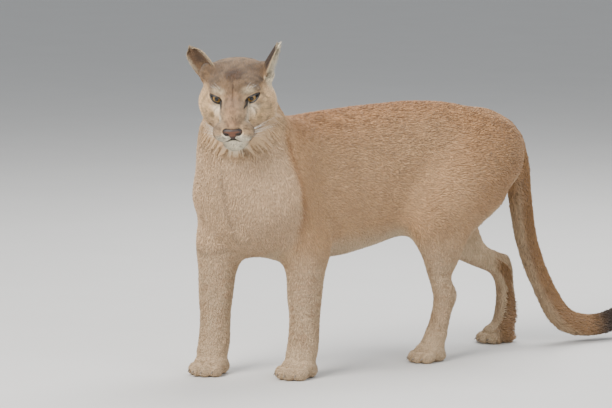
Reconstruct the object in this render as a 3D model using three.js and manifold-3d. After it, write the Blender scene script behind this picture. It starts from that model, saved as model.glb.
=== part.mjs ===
// A cougar at life size, standing in mid-step with its head turned to its left, as a still model.
// Straight, the animal faces -Y with its left side at +X; its spine then bends to its left.
// The flesh and coat are one smooth field of named masses, meshed piece by piece and parted by
// thin cuts into head, neck, torso, legs, paws and tail, with ears, eyes and nose set in place.
// Sizes are in millimetres and heights are above the floor.
import * as THREE from "three";
import { mergeVertices } from "three/addons/utils/BufferGeometryUtils.js";
import { ConvexGeometry } from "three/addons/geometries/ConvexGeometry.js";
import Module from "manifold-3d";

const wasm = await Module();
wasm.setup();

const gap = 0.3; // between nodes that meet
const spineBendRadius = 880; // ahead of station 0 the spine curves to the left on this radius
const left = 1;
const right = -1;

// The straight animal: across (left is plus), station (back is plus) and height. Ahead of station 0 it bends.
function bent(across, station, height) {
  if (station >= 0) return new THREE.Vector3(across, station, height);
  const angle = -station / spineBendRadius;
  const reach = spineBendRadius - across;
  return new THREE.Vector3(spineBendRadius - reach * Math.cos(angle), -reach * Math.sin(angle), height);
}

function straight(p) {
  if (p.y >= 0) return [p.x, p.y];
  const reach = Math.hypot(spineBendRadius - p.x, p.y);
  const angle = Math.atan2(-p.y, spineBendRadius - p.x);
  return [spineBendRadius - reach, -angle * spineBendRadius];
}

const headingAt = (station) => (station < 0 ? -station / spineBendRadius : 0);

// Trunk sections along the spine: half width, then the heights of the belly, the widest place and the back.
const trunkSections = [
  { station: -440, halfWidth: 44, belly: 410, widest: 455, back: 490 },
  { station: -415, halfWidth: 84, belly: 352, widest: 455, back: 540 },
  { station: -360, halfWidth: 110, belly: 310, widest: 450, back: 600 },
  { station: -280, halfWidth: 121, belly: 285, widest: 445, back: 630 },
  { station: -180, halfWidth: 128, belly: 272, widest: 440, back: 641 },
  { station: -60, halfWidth: 127, belly: 270, widest: 445, back: 650 },
  { station: 50, halfWidth: 119, belly: 290, widest: 462, back: 657 },
  { station: 150, halfWidth: 110, belly: 318, widest: 485, back: 660 },
  { station: 250, halfWidth: 108, belly: 350, widest: 500, back: 656 },
  { station: 350, halfWidth: 100, belly: 388, widest: 510, back: 634 },
  { station: 430, halfWidth: 74, belly: 440, widest: 520, back: 592 },
  { station: 475, halfWidth: 34, belly: 490, widest: 528, back: 556 },
];

const trunkProfile = new THREE.CubicInterpolant(
  trunkSections.map((t) => t.station),
  trunkSections.flatMap((t) => [t.halfWidth, t.belly, t.widest, t.back]),
  4,
);

// Signed distances, negative inside. Each field takes a THREE.Vector3.
function ellipsoid(centre, radii, axes) {
  const q = new THREE.Vector3();
  const back = axes ? axes.clone().transpose() : null;
  const smallest = Math.min(radii.x, radii.y, radii.z);
  return (p) => {
    q.subVectors(p, centre);
    if (back) q.applyMatrix4(back);
    const k0 = Math.hypot(q.x / radii.x, q.y / radii.y, q.z / radii.z);
    const k1 = Math.hypot(q.x / radii.x ** 2, q.y / radii.y ** 2, q.z / radii.z ** 2);
    return k1 < 1e-9 ? -smallest : (k0 * (k0 - 1)) / k1;
  };
}

// A limb of round section along a smooth curve through its joints, each { at, radius }.
function limb(joints, steps = 6) {
  const curve = new THREE.CatmullRomCurve3(joints.map((j) => j.at), false, "centripetal");
  const count = (joints.length - 1) * steps;
  const points = curve.getPoints(count);
  const radii = points.map((_, i) => {
    const along = i / steps;
    const j = Math.min(Math.floor(along), joints.length - 2);
    return THREE.MathUtils.lerp(joints[j].radius, joints[j + 1].radius, along - j);
  });
  const spans = points.slice(1).map((b, i) => new THREE.Vector3().subVectors(b, points[i]));
  const squares = spans.map((v) => v.lengthSq());
  return (p) => {
    let nearest = Infinity;
    for (let i = 0; i < spans.length; i++) {
      const a = points[i];
      const v = spans[i];
      const x = p.x - a.x;
      const y = p.y - a.y;
      const z = p.z - a.z;
      const t = Math.min(1, Math.max(0, (x * v.x + y * v.y + z * v.z) / squares[i]));
      const radius = radii[i] + t * (radii[i + 1] - radii[i]);
      const d = Math.hypot(x - t * v.x, y - t * v.y, z - t * v.z) - radius;
      if (d < nearest) nearest = d;
    }
    return nearest;
  };
}

function smoothMin(a, b, softness) {
  const h = Math.max(softness - Math.abs(a - b), 0) / softness;
  return Math.min(a, b) - (h * h * softness) / 4;
}

// Joins fields with a fillet of about that softness.
function blend(softness, ...fields) {
  return (p) => fields.reduce((d, field) => (d === null ? field(p) : smoothMin(d, field(p), softness)), null);
}

// Presses a hollow of that softness into a field.
function hollow(softness, body, ...tools) {
  return (p) => tools.reduce((d, tool) => -smoothMin(-d, tool(p), softness), body(p));
}

function trunk(p) {
  const [across, station] = straight(p);
  const first = trunkSections[0].station;
  const last = trunkSections[trunkSections.length - 1].station;
  const [halfWidth, belly, widest, back] = trunkProfile.evaluate(THREE.MathUtils.clamp(station, first, last));
  const rise = p.z - widest;
  const halfHeight = rise > 0 ? back - widest : widest - belly;
  const k0 = Math.hypot(across / halfWidth, rise / halfHeight);
  const k1 = Math.hypot(across / halfWidth ** 2, rise / halfHeight ** 2);
  const round = k1 < 1e-9 ? -halfWidth : (k0 * (k0 - 1)) / k1;
  const beyond = Math.max(first - station, station - last, 0);
  return beyond > 0 ? Math.hypot(Math.max(round, 0), beyond) : round;
}

const joint = (at, radius) => ({ at, radius });

// Forelegs. Each paw has its own station, because the animal is in mid-step.
const forePawStation = { [left]: -249, [right]: -347 };
const forePawAcross = 103;

function shoulder(side) {
  return blend(
    45,
    limb([
      joint(bent(side * 58, -230, 572), 42),
      joint(bent(side * 84, -300, 490), 60),
      joint(bent(side * 92, -338, 440), 62),
    ]),
    limb([
      joint(bent(side * 92, -335, 440), 60),
      joint(bent(side * 99, (-300 + forePawStation[side]) / 2, 375), 56),
      joint(bent(side * forePawAcross, forePawStation[side] + 12, 322), 50),
    ]),
  );
}

function foreleg(side) {
  const s = forePawStation[side];
  const across = side * forePawAcross;
  return blend(
    14,
    limb([
      joint(bent(across, s + 12, 335), 53),
      joint(bent(across, s + 6, 270), 52),
      joint(bent(across, s, 200), 48),
      joint(bent(across, s - 2, 130), 42),
      joint(bent(across, s - 8, 75), 40),
      joint(bent(across, s - 22, 42), 35),
    ]),
    limb([joint(bent(across, s + 34, 318), 30), joint(bent(across, s + 20, 250), 30)]), // point of the elbow
  );
}

// Hind legs, joint by joint: the left steps forward and the right pushes off behind.
const hindJoints = {
  [left]: [
    [74, 345, 508, 94], [92, 255, 430, 90], [100, 168, 358, 58], [98, 184, 285, 42], [93, 200, 215, 32],
    [91, 214, 158, 31], [90, 200, 90, 29], [90, 182, 42, 28],
  ],
  [right]: [
    [-74, 355, 508, 94], [-90, 325, 425, 85], [-97, 275, 345, 60], [-94, 345, 285, 48], [-88, 425, 238, 38],
    [-82, 498, 192, 31], [-80, 515, 105, 29], [-80, 505, 42, 28],
  ],
};
const hindCalf = {
  [left]: [[96, 325, 425, 64], [98, 245, 345, 50], [95, 218, 262, 38]],
  [right]: [[-88, 405, 450, 60], [-94, 370, 360, 52], [-92, 400, 290, 38]],
};
const hindHeel = { [left]: [92, 236, 168], [right]: [-81, 520, 208] };
const toJoint = ([x, y, z, radius]) => joint(new THREE.Vector3(x, y, z), radius);

function hindleg(side) {
  return blend(
    26,
    limb(hindJoints[side].map(toJoint)),
    limb(hindCalf[side].map(toJoint)),
    ellipsoid(new THREE.Vector3(...hindHeel[side]), new THREE.Vector3(17, 20, 30)),
  );
}

// Paws: a broad pad, and four toes in an arc with the middle two ahead.
const paws = {
  forepaw_left: {
    at: bent(forePawAcross, forePawStation[left], 0),
    heading: headingAt(forePawStation[left]) + 0.02,
    size: 1,
  },
  forepaw_right: {
    at: bent(-forePawAcross, forePawStation[right], 0),
    heading: headingAt(forePawStation[right]) + 0.1,
    size: 1,
  },
  hindpaw_left: { at: new THREE.Vector3(90, 190, 0), heading: 0.06, size: 0.88 },
  hindpaw_right: { at: new THREE.Vector3(-80, 508, 0), heading: -0.1, size: 0.88 },
};
const toes = [
  { across: -31, ahead: 47, radius: 14 },
  { across: -11, ahead: 62, radius: 15 },
  { across: 11, ahead: 62, radius: 15 },
  { across: 31, ahead: 47, radius: 14 },
];

function paw({ at, heading, size }) {
  const turned = new THREE.Matrix4().makeRotationZ(heading);
  const place = (across, ahead, height) =>
    new THREE.Vector3(across, -ahead, height).multiplyScalar(size).applyMatrix4(turned).add(at);
  const radii = (x, y, z) => new THREE.Vector3(x, y, z).multiplyScalar(size);
  const pad = blend(
    18,
    ellipsoid(place(0, 22, 30), radii(40, 46, 27), turned),
    ellipsoid(place(0, 2, 16), radii(34, 34, 20), turned),
  );
  const toeFields = toes.map((t) => {
    const spread = new THREE.Matrix4().makeRotationZ(heading + t.across * 0.004);
    return blend(
      8,
      ellipsoid(place(t.across, t.ahead, 15), radii(t.radius, 24, 18), spread),
      ellipsoid(place(t.across * 0.9, t.ahead - 24, 32), radii(t.radius, 24, 15), spread),
    );
  });
  return blend(7, pad, ...toeFields);
}

// The tail hangs behind the legs and turns back along the floor, clear of it.
const tailJoints = [
  [0, 385, 580, 52], [2, 440, 560, 46], [5, 480, 500, 38], [7, 498, 400, 33], [9, 515, 293, 31],
  [11, 545, 205, 30], [13, 580, 136, 30], [16, 628, 68, 29], [19, 690, 42, 28], [20, 750, 42, 27],
  [14, 805, 60, 22],
];
const tail = limb(tailJoints.map(toJoint), 5);

// The head has its own axes: left, ahead along the muzzle, and up, from a point midway between the eyes.
const eyesMidpoint = new THREE.Vector3(180, -439, 703);
const headYaw = THREE.MathUtils.degToRad(54);
const headPitch = THREE.MathUtils.degToRad(24);
const headRoll = THREE.MathUtils.degToRad(-2);
const headTurn = new THREE.Matrix4()
  .makeRotationZ(headYaw)
  .multiply(new THREE.Matrix4().makeRotationX(headPitch))
  .multiply(new THREE.Matrix4().makeRotationY(headRoll));
const onHead = (toLeft, ahead, up) =>
  new THREE.Vector3(toLeft, -ahead, up).applyMatrix4(headTurn).add(eyesMidpoint);

function onBothSides(make) {
  return [left, right].map(make);
}

function headMass(toLeft, ahead, up, rLeft, rAhead, rUp, tilt = 0) {
  const axes = headTurn.clone().multiply(new THREE.Matrix4().makeRotationX(tilt));
  return ellipsoid(onHead(toLeft, ahead, up), new THREE.Vector3(rLeft, rAhead, rUp), axes);
}

const skull = blend(
  22,
  headMass(0, -76, 2, 76, 74, 58),
  headMass(0, -36, 10, 58, 46, 40),
  ...onBothSides((side) => headMass(side * 57, -50, -30, 37, 44, 38)),
  ...onBothSides((side) => headMass(side * 56, -60, -62, 35, 42, 34)),
  limb([joint(onHead(-34, -82, 30), 27), joint(onHead(34, -82, 30), 27)]),
  limb([joint(onHead(0, -2, -6), 29), joint(onHead(0, 34, -22), 25), joint(onHead(0, 60, -40), 20)]),
  ...onBothSides((side) =>
    limb([joint(onHead(side * 14, 34, -90), 21), joint(onHead(side * 38, -38, -80), 27)]),
  ),
);
const brows = onBothSides((side) => headMass(side * 38, -15, 17, 22, 15, 9, 0.3));
const earMounds = onBothSides((side) => headMass(side * 67, -80, 26, 24, 24, 30));
const muzzle = blend(
  9,
  ...onBothSides((side) => headMass(side * 23, 54, -60, 28, 27, 24)),
  headMass(0, 48, -93, 27, 26, 19),
  headMass(0, 40, -64, 42, 28, 32),
);
const eyeCentre = (side) => onHead(side * 40, -15, -1);
const eyeRadius = 15.5;
const eyeHollows = onBothSides((side) => headMass(side * 40, 14, -3, 15, 13, 10));
const head = hollow(
  12,
  blend(14, blend(14, skull, ...brows), muzzle, ...earMounds),
  ...eyeHollows,
);

// The neck rises from the shoulders to the back of the skull.
const breastStation = -352;
const neck = blend(
  50,
  limb([
    joint(onHead(0, -92, -26), 72),
    joint(new THREE.Vector3(98, -372, 640), 106),
    joint(new THREE.Vector3(66, -345, 555), 122),
  ]),
  ellipsoid(
    bent(0, breastStation, 520),
    new THREE.Vector3(112, 88, 140),
    new THREE.Matrix4().makeRotationZ(headingAt(breastStation)),
  ),
);

const haunches = onBothSides((side) =>
  ellipsoid(new THREE.Vector3(side * 62, 375, 515), new THREE.Vector3(58, 90, 88)));
const torsoField = blend(60, trunk, neck, ...onBothSides(shoulder), ...haunches);
const pieces = {
  forelegs: onBothSides(foreleg),
  hindlegs: onBothSides(hindleg),
  paws: Object.values(paws).map(paw),
};
function wholeBody(p) {
  let d = torsoField(p);
  for (const leg of pieces.forelegs) d = smoothMin(d, leg(p), 40);
  for (const leg of pieces.hindlegs) d = smoothMin(d, leg(p), 45);
  for (const foot of pieces.paws) d = smoothMin(d, foot(p), 10);
  return smoothMin(d, head(p), 26);
}
const bodyAndTail = (p) => smoothMin(wholeBody(p), tail(p), 22);

// Mesh sizes: fine on the head and feet, coarse on the trunk.
const cellOf = { nose: 4.5, head: 8.9, neck: 28, torso: 35, leg: 26.4, paw: 15, tail: 19 };

// Meshes the zero surface of a field inside a box: one vertex in each cell that the surface crosses,
// drawn onto the surface, and one quad round each grid edge that crosses it.
function skinOf(field, box, cell) {
  const size = box.getSize(new THREE.Vector3());
  const counts = ["x", "y", "z"].map((axis) => Math.ceil(size[axis] / cell) + 1);
  const [nx, ny, nz] = counts;
  const strides = [1, nx, nx * ny];
  const p = new THREE.Vector3();
  const corner = (i, j, k) => p.set(box.min.x + i * cell, box.min.y + j * cell, box.min.z + k * cell);
  const values = new Float64Array(nx * ny * nz);
  for (let k = 0, n = 0; k < nz; k++)
    for (let j = 0; j < ny; j++)
      for (let i = 0; i < nx; i++, n++) {
        const edge = i === 0 || j === 0 || k === 0 || i === nx - 1 || j === ny - 1 || k === nz - 1;
        values[n] = edge ? cell : field(corner(i, j, k));
      }
  const vertexOf = new Int32Array(nx * ny * nz).fill(-1);
  const positions = [];
  const gradient = new THREE.Vector3();
  for (let k = 0; k < nz - 1; k++)
    for (let j = 0; j < ny - 1; j++)
      for (let i = 0; i < nx - 1; i++) {
        const n = i + j * nx + k * nx * ny;
        let crossings = 0;
        const sum = new THREE.Vector3();
        for (let axis = 0; axis < 3; axis++)
          for (let side = 0; side < 4; side++) {
            const steps = [0, 0, 0];
            steps[(axis + 1) % 3] = side & 1;
            steps[(axis + 2) % 3] = side >> 1;
            const m = n + steps[0] + steps[1] * nx + steps[2] * nx * ny;
            const a = values[m];
            const b = values[m + strides[axis]];
            if (a < 0 === b < 0) continue;
            steps[axis] = a / (a - b);
            sum.add(new THREE.Vector3(...steps));
            crossings++;
          }
        if (!crossings) continue;
        const start = sum.multiplyScalar(1 / crossings);
        const point = new THREE.Vector3(i, j, k).add(start).multiplyScalar(cell).add(box.min);
        const low = new THREE.Vector3(i + 0.02, j + 0.02, k + 0.02).multiplyScalar(cell).add(box.min);
        const high = low.clone().addScalar(cell * 0.96);
        if (i && j && k && i < nx - 2 && j < ny - 2 && k < nz - 2)
          for (let pass = 0; pass < 3; pass++) {
            const d = field(point);
            const h = cell * 0.05;
            for (const axis of ["x", "y", "z"]) {
              p.copy(point)[axis] += h;
              gradient[axis] = (field(p) - d) / h;
            }
            const slope = gradient.lengthSq();
            if (slope > 1e-6) point.addScaledVector(gradient, -d / Math.max(slope, 0.3));
            point.clamp(low, high);
          }
        vertexOf[n] = positions.length / 3;
        positions.push(point.x, point.y, point.z);
      }
  const triangles = [];
  const at = (v) => new THREE.Vector3().fromArray(positions, v * 3);
  for (let k = 0; k < nz - 1; k++)
    for (let j = 0; j < ny - 1; j++)
      for (let i = 0; i < nx - 1; i++)
        for (let axis = 0; axis < 3; axis++) {
          const n = i + j * nx + k * nx * ny;
          const inside = values[n] < 0;
          if (inside === values[n + strides[axis]] < 0) continue;
          const u = strides[(axis + 1) % 3];
          const v = strides[(axis + 2) % 3];
          const ring = [n - u - v, n - v, n, n - u].map((m) => vertexOf[m]);
          if (!inside) ring.reverse();
          const [a, b, c, d] = ring;
          const across = at(a).distanceTo(at(c)) <= at(b).distanceTo(at(d));
          triangles.push(...(across ? [a, b, c, a, c, d] : [a, b, d, b, c, d]));
        }
  const geometry = new THREE.BufferGeometry();
  geometry.setAttribute("position", new THREE.Float32BufferAttribute(positions, 3));
  geometry.setIndex(triangles);
  return geometry;
}

// three.js geometry to a solid that can be cut and joined, and back.
function solidOf(geometry, matrix) {
  const plain = geometry.clone();
  for (const name of Object.keys(plain.attributes)) if (name !== "position") plain.deleteAttribute(name);
  if (matrix) plain.applyMatrix4(matrix);
  const merged = mergeVertices(plain, 1e-4);
  const mesh = new wasm.Mesh({
    numProp: 3,
    vertProperties: merged.attributes.position.array,
    triVerts: new Uint32Array(merged.index.array),
  });
  return new wasm.Manifold(mesh);
}

function largestOf(solid) {
  return solid.decompose().sort((a, b) => b.volume() - a.volume())[0];
}

// The cuts leave some corners that almost touch, so corners are drawn to a fine grid and joined,
// and the triangles that this flattens to an edge are dropped.
const fineGrid = 0.01;

function geometryOf(solid) {
  const mesh = solid.getMesh();
  const placeOf = new Map();
  const corners = [];
  const joined = [];
  for (let v = 0; v < mesh.vertProperties.length; v += 3) {
    const corner = mesh.vertProperties.subarray(v, v + 3);
    const point = Array.from(corner, (x) => Math.round(x / fineGrid) * fineGrid);
    const key = point.map((x) => Math.round(x / fineGrid)).join(" ");
    if (!placeOf.has(key)) {
      placeOf.set(key, corners.length);
      corners.push(new THREE.Vector3(...point));
    }
    joined.push(placeOf.get(key));
  }
  const triangles = [];
  for (let t = 0; t < mesh.triVerts.length; t += 3) {
    const [a, b, c] = Array.from(mesh.triVerts.subarray(t, t + 3), (v) => joined[v]);
    if (a !== b && b !== c && c !== a) triangles.push(a, b, c);
  }
  const geometry = new THREE.BufferGeometry().setFromPoints(corners);
  geometry.setIndex(triangles);
  const faceted = geometry.toNonIndexed();
  faceted.computeVertexNormals();
  return faceted;
}

// A block between two cross-sections, each a list of corners, for parting the body.
const hull = (corners) => solidOf(new ConvexGeometry(corners));

// A half space as a large block whose one face passes through a point, on the side that normal points to.
function halfSpace(point, normal, offset = 0) {
  const reach = 1500;
  const matrix = new THREE.Matrix4().makeTranslation(0, 0, reach / 2 + offset);
  const turn = new THREE.Matrix4().makeRotationFromQuaternion(
    new THREE.Quaternion().setFromUnitVectors(new THREE.Vector3(0, 0, 1), normal.clone().normalize()),
  );
  const place = new THREE.Matrix4().makeTranslation(point.x, point.y, point.z);
  place.multiply(turn).multiply(matrix);
  return solidOf(new THREE.BoxGeometry(2 * reach, 2 * reach, reach), place);
}

const boxOf = (x0, x1, y0, y1, z0, z1) =>
  new THREE.Box3(new THREE.Vector3(x0, y0, z0), new THREE.Vector3(x1, y1, z1));

// The cuts. Each says which side of a face belongs to the outer node, and grow moves the face for the gap.
const headCut = {
  point: onHead(0, -70, -92),
  normal: onHead(0, 0.43, 0.9).sub(onHead(0, 0, 0)).normalize(),
};
const neckCutStation = -318;
const upright = new THREE.Vector3(0, 0, 1);
const neckCut = {
  point: bent(0, neckCutStation, 545),
  normal: new THREE.Vector3(0, -0.66, 0.75).applyAxisAngle(upright, headingAt(neckCutStation)),
};
const tailCut = { point: new THREE.Vector3(3, 455, 540), normal: new THREE.Vector3(0, 0.985, -0.17) };

// The wedge of the body that each leg takes: below a face that slopes up and out from the belly, and
// between front and rear faces that slope back as they rise. Each station is { low, high }.
function legWedge(side, front, rear, inner, rise, top, grow) {
  const place = (across, station, height) => bent(side * across, station, height);
  const innerFront = front.low + (front.high - front.low) * 0.35;
  return hull([
    place(inner - grow, front.low - grow, -20),
    place(inner - grow, rear.low + grow, -20),
    place(outerReach, front.low - grow, -20),
    place(outerReach, rear.low + grow, -20),
    place(inner - grow, innerFront - grow, rise + grow),
    place(inner - grow, rear.high + grow, rise + grow),
    place(outerReach, front.high - grow, top + grow),
    place(outerReach, rear.high + grow, top + grow),
  ]);
}

const outerReach = 190;
const foreWedge = (side, front, rear) => (grow) => legWedge(side, front, rear, 42, 312, 560, grow);
const hindWedge = (side, rear) => (grow) => legWedge(side, { low: 60, high: 205 }, rear, 6, 352, 640, grow);
const legWedges = {
  foreleg_left: foreWedge(left, { low: -372, high: -362 }, { low: -158, high: -190 }),
  foreleg_right: foreWedge(right, { low: -470, high: -430 }, { low: -248, high: -258 }),
  hindleg_left: hindWedge(left, { low: 480, high: 470 }),
  hindleg_right: hindWedge(right, { low: 640, high: 500 }),
};
const pawCutHeight = 74;

// The room that the tail takes behind the rump: wide at its root, then between the hind legs.
function tailZone(grow) {
  const block = (x0, x1, z0, z1) => {
    const box = boxOf(x0 - grow, x1 + grow, 300, 900, z0 - grow, z1 + grow);
    const size = box.getSize(new THREE.Vector3());
    const place = new THREE.Matrix4().setPosition(box.getCenter(new THREE.Vector3()));
    return solidOf(new THREE.BoxGeometry(size.x, size.y, size.z), place);
  };
  const behindRump = halfSpace(tailCut.point, tailCut.normal, -grow);
  return block(-58, 58, 330, 720).add(block(-34, 70, -20, 332)).intersect(behindRump);
}


// Eyelids: an almond opening through a thin shell of skin over the eyeball.
const lidDepth = 2.8;
function eyeOpening(side) {
  const shape = new THREE.Shape();
  shape.moveTo(-13.5 * side, -4.5);
  shape.quadraticCurveTo(-3 * side, 10.5, 14.5 * side, 4);
  shape.quadraticCurveTo(4 * side, -11.5, -13.5 * side, -4.5);
  const block = new THREE.ExtrudeGeometry(shape, { depth: 34, bevelEnabled: false, curveSegments: 7 });
  const facing = new THREE.Matrix4().makeRotationX(Math.PI / 2);
  const gaze = new THREE.Matrix4().makeRotationZ(side * 0.2);
  const place = new THREE.Matrix4().makeTranslation(...eyeCentre(side).toArray())
    .multiply(headTurn).multiply(gaze).multiply(facing);
  return solidOf(block, place);
}

// The nose leather: a broad pad, narrower below, with a nostril at each side that opens outward.
const noseField = blend(
  5,
  headMass(0, 74, -47, 23, 10, 8),
  ...onBothSides((side) => headMass(side * 14, 73, -51, 9, 9, 8)),
  headMass(0, 77, -57, 8, 7, 9),
);
const nostrilFields = onBothSides((side) => headMass(side * 14.5, 82, -52, 5.2, 6, 3));
const noseBox = new THREE.Box3().setFromCenterAndSize(onHead(0, 74, -50), new THREE.Vector3(66, 66, 60));
const noseLeather = () => solidOf(skinOf(hollow(3, noseField, ...nostrilFields), noseBox, cellOf.nose));
const noseSeat = () => solidOf(skinOf((p) => noseField(p) - gap - 0.2, noseBox, cellOf.nose));

// The line of the mouth: a groove from the cheek, under the lips, to the other cheek.
function mouthGroove() {
  const path = new THREE.CatmullRomCurve3([
    onHead(-50, 20, -76), onHead(-42, 46, -83), onHead(-25, 70, -84), onHead(-8, 79, -77), onHead(0, 82, -75),
    onHead(8, 79, -77), onHead(25, 70, -84), onHead(42, 46, -83), onHead(50, 20, -76),
  ]);
  const section = new THREE.Shape();
  section.absellipse(0, 0, 3.2, 3.2, 0, 2 * Math.PI);
  return solidOf(new THREE.ExtrudeGeometry(section, { extrudePath: path, steps: 20, curveSegments: 2 }));
}

function philtrum() {
  const path = new THREE.CatmullRomCurve3([onHead(0, 80, -60), onHead(0, 82, -68), onHead(0, 79, -75)]);
  const section = new THREE.Shape();
  section.absellipse(0, 0, 2.4, 2.4, 0, 2 * Math.PI);
  return solidOf(new THREE.ExtrudeGeometry(section, { extrudePath: path, steps: 4, curveSegments: 3 }));
}

// Ears: a cupped leaf with a round tip, thick at the root, cut to the head it grows from.
const earSpots = {
  ear_left: { side: left, base: onHead(76, -82, 43), lean: 0.6, turn: 1.5, back: -0.1 },
  ear_right: { side: right, base: onHead(-74, -82, 40), lean: 0.64, turn: 0.36, back: -0.1 },
};
const ear = {
  height: 92,
  halfWidth: 34,
  cup: 21,
  wall: 5.5,
  across: 8,
  up: 8,
  rootDepth: 24,
  widestAt: 0.46,
  roundness: 3.4,
};

function earSolid({ side, base, lean, turn, back }) {
  const outer = [];
  const inner = [];
  const sweep = (u, v, deep) => {
    const past = Math.max(0, (v - ear.widestAt) / (1 - ear.widestAt));
    const narrowed = Math.sqrt(1 - past ** ear.roundness);
    const width = ear.halfWidth * narrowed * (0.86 + 0.14 * Math.min(1, v / ear.widestAt));
    const angle = u * 1.25 * (1 - 0.25 * v);
    const depth = ear.cup * (1 - 0.55 * v);
    const reach = width - deep * 0.9;
    return new THREE.Vector3(
      reach * Math.sin(angle) / Math.sin(1.25),
      depth * (1 - Math.cos(angle)) * -1.4 + depth * 0.6 - deep,
      ear.height * v * (1 - 0.06 * u * u) - ear.rootDepth,
    );
  };
  for (let j = 0; j <= ear.up; j++)
    for (let i = 0; i <= ear.across; i++) {
      const u = (2 * i) / ear.across - 1;
      const v = 0.985 * Math.sin((j / ear.up) * Math.PI / 2) ** 1.1;
      const wall = ear.wall * (1 - 0.35 * v);
      outer.push(sweep(u, v, 0));
      inner.push(sweep(u * 0.94, v * 0.975, wall));
    }
  const points = [...outer, ...inner];
  const place = new THREE.Matrix4().makeTranslation(...base.toArray())
    .multiply(headTurn)
    .multiply(new THREE.Matrix4().makeRotationY(side * lean))
    .multiply(new THREE.Matrix4().makeRotationZ(side * turn))
    .multiply(new THREE.Matrix4().makeRotationX(back));
  const n = ear.across + 1;
  const offset = outer.length;
  const triangles = [];
  const quad = (a, b, c, d) => triangles.push(a, b, c, a, c, d);
  for (let j = 0; j < ear.up; j++)
    for (let i = 0; i < ear.across; i++) {
      const a = j * n + i;
      quad(a, a + n, a + n + 1, a + 1);
      quad(offset + a, offset + a + 1, offset + a + n + 1, offset + a + n);
    }
  for (let i = 0; i < ear.across; i++) {
    const top = ear.up * n + i;
    quad(i + 1, offset + i + 1, offset + i, i);
    quad(top, offset + top, offset + top + 1, top + 1);
  }
  for (let j = 0; j < ear.up; j++) {
    const low = j * n;
    const high = low + ear.across;
    quad(low, offset + low, offset + low + n, low + n);
    quad(high + n, offset + high + n, offset + high, high);
  }
  const geometry = new THREE.BufferGeometry().setFromPoints(points);
  geometry.setIndex(triangles);
  const solid = solidOf(geometry, place);
  return solid.volume() < 0 ? null : solid;
}


const cut = (body, tools) => tools.reduce((s, tool) => s.subtract(tool), body);

function headNode(grow = 0) {
  const box = new THREE.Box3().setFromCenterAndSize(onHead(0, -24, -28), new THREE.Vector3(300, 300, 340));
  const field = (p) => smoothMin(head(p), neck(p), 26) - grow;
  return solidOf(skinOf(field, box, cellOf.head)).intersect(halfSpace(headCut.point, headCut.normal, gap));
}

const nodes = {};
const headBlank = headNode();
const lids = onBothSides((side) => {
  const shell = new THREE.IcosahedronGeometry(eyeRadius + lidDepth, 4);
  return solidOf(shell, new THREE.Matrix4().makeTranslation(...eyeCentre(side).toArray()));
});
const eyeSeats = onBothSides((side) => {
  const seat = new THREE.IcosahedronGeometry(eyeRadius + gap + 0.2, 4);
  return solidOf(seat, new THREE.Matrix4().makeTranslation(...eyeCentre(side).toArray()));
});
nodes.head = cut(headBlank.add(lids[0]).add(lids[1]), [
  ...onBothSides(eyeOpening), ...eyeSeats, noseSeat(), mouthGroove(), philtrum(),
]);
nodes.nose = noseLeather();
onBothSides((side) => {
  const ball = new THREE.IcosahedronGeometry(eyeRadius, 3);
  const place = new THREE.Matrix4().makeTranslation(...eyeCentre(side).toArray());
  nodes[side === left ? "eye_left" : "eye_right"] = solidOf(ball, place);
});

const headForEars = headNode(1.2); // the two meshes differ a little, so the ears keep this much clear
for (const [name, spot] of Object.entries(earSpots)) nodes[name] = earSolid(spot).subtract(headForEars);

const bodyBox = boxOf(-210, 330, -520, 600, 240, 800);
const torsoBlank = solidOf(skinOf(bodyAndTail, bodyBox, cellOf.torso));
const behindHead = halfSpace(headCut.point, headCut.normal.clone().negate());
const aheadOfNeckCut = halfSpace(neckCut.point, neckCut.normal, gap);
const behindNeckCut = halfSpace(neckCut.point, neckCut.normal.clone().negate());
nodes.torso = cut(
  torsoBlank.intersect(behindNeckCut),
  [...Object.values(legWedges).map((wedge) => wedge(gap)), tailZone(gap)],
);
const neckBlank = solidOf(skinOf(bodyAndTail, boxOf(-130, 300, -500, -130, 380, 880), cellOf.neck));
nodes.neck = cut(
  neckBlank.intersect(aheadOfNeckCut).intersect(behindHead),
  Object.values(legWedges).map((wedge) => wedge(gap)),
);

const legBoxes = {
  foreleg_left: boxOf(40, 260, -420, -110, 20, 640),
  foreleg_right: boxOf(-220, 60, -520, -170, 20, 640),
  hindleg_left: boxOf(-40, 230, 40, 520, 20, 720),
  hindleg_right: boxOf(-230, 40, 40, 620, 20, 720),
};
const abovePaws = halfSpace(new THREE.Vector3(0, 0, pawCutHeight), new THREE.Vector3(0, 0, 1), gap);
for (const [name, box] of Object.entries(legBoxes))
  nodes[name] = solidOf(skinOf(bodyAndTail, box, cellOf.leg))
    .intersect(legWedges[name](0))
    .intersect(abovePaws)
    .subtract(tailZone(gap));

const belowLegs = halfSpace(new THREE.Vector3(0, 0, pawCutHeight), new THREE.Vector3(0, 0, -1));
const aboveFloor = halfSpace(new THREE.Vector3(0, 0, 0), new THREE.Vector3(0, 0, 1));
for (const [name, foot] of Object.entries(paws)) {
  const { x, y } = foot.at;
  const box = boxOf(x - 105, x + 105, y - 120, y + 80, -25, 105);
  nodes[name] = solidOf(skinOf(wholeBody, box, cellOf.paw)).intersect(belowLegs).intersect(aboveFloor);
}

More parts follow.
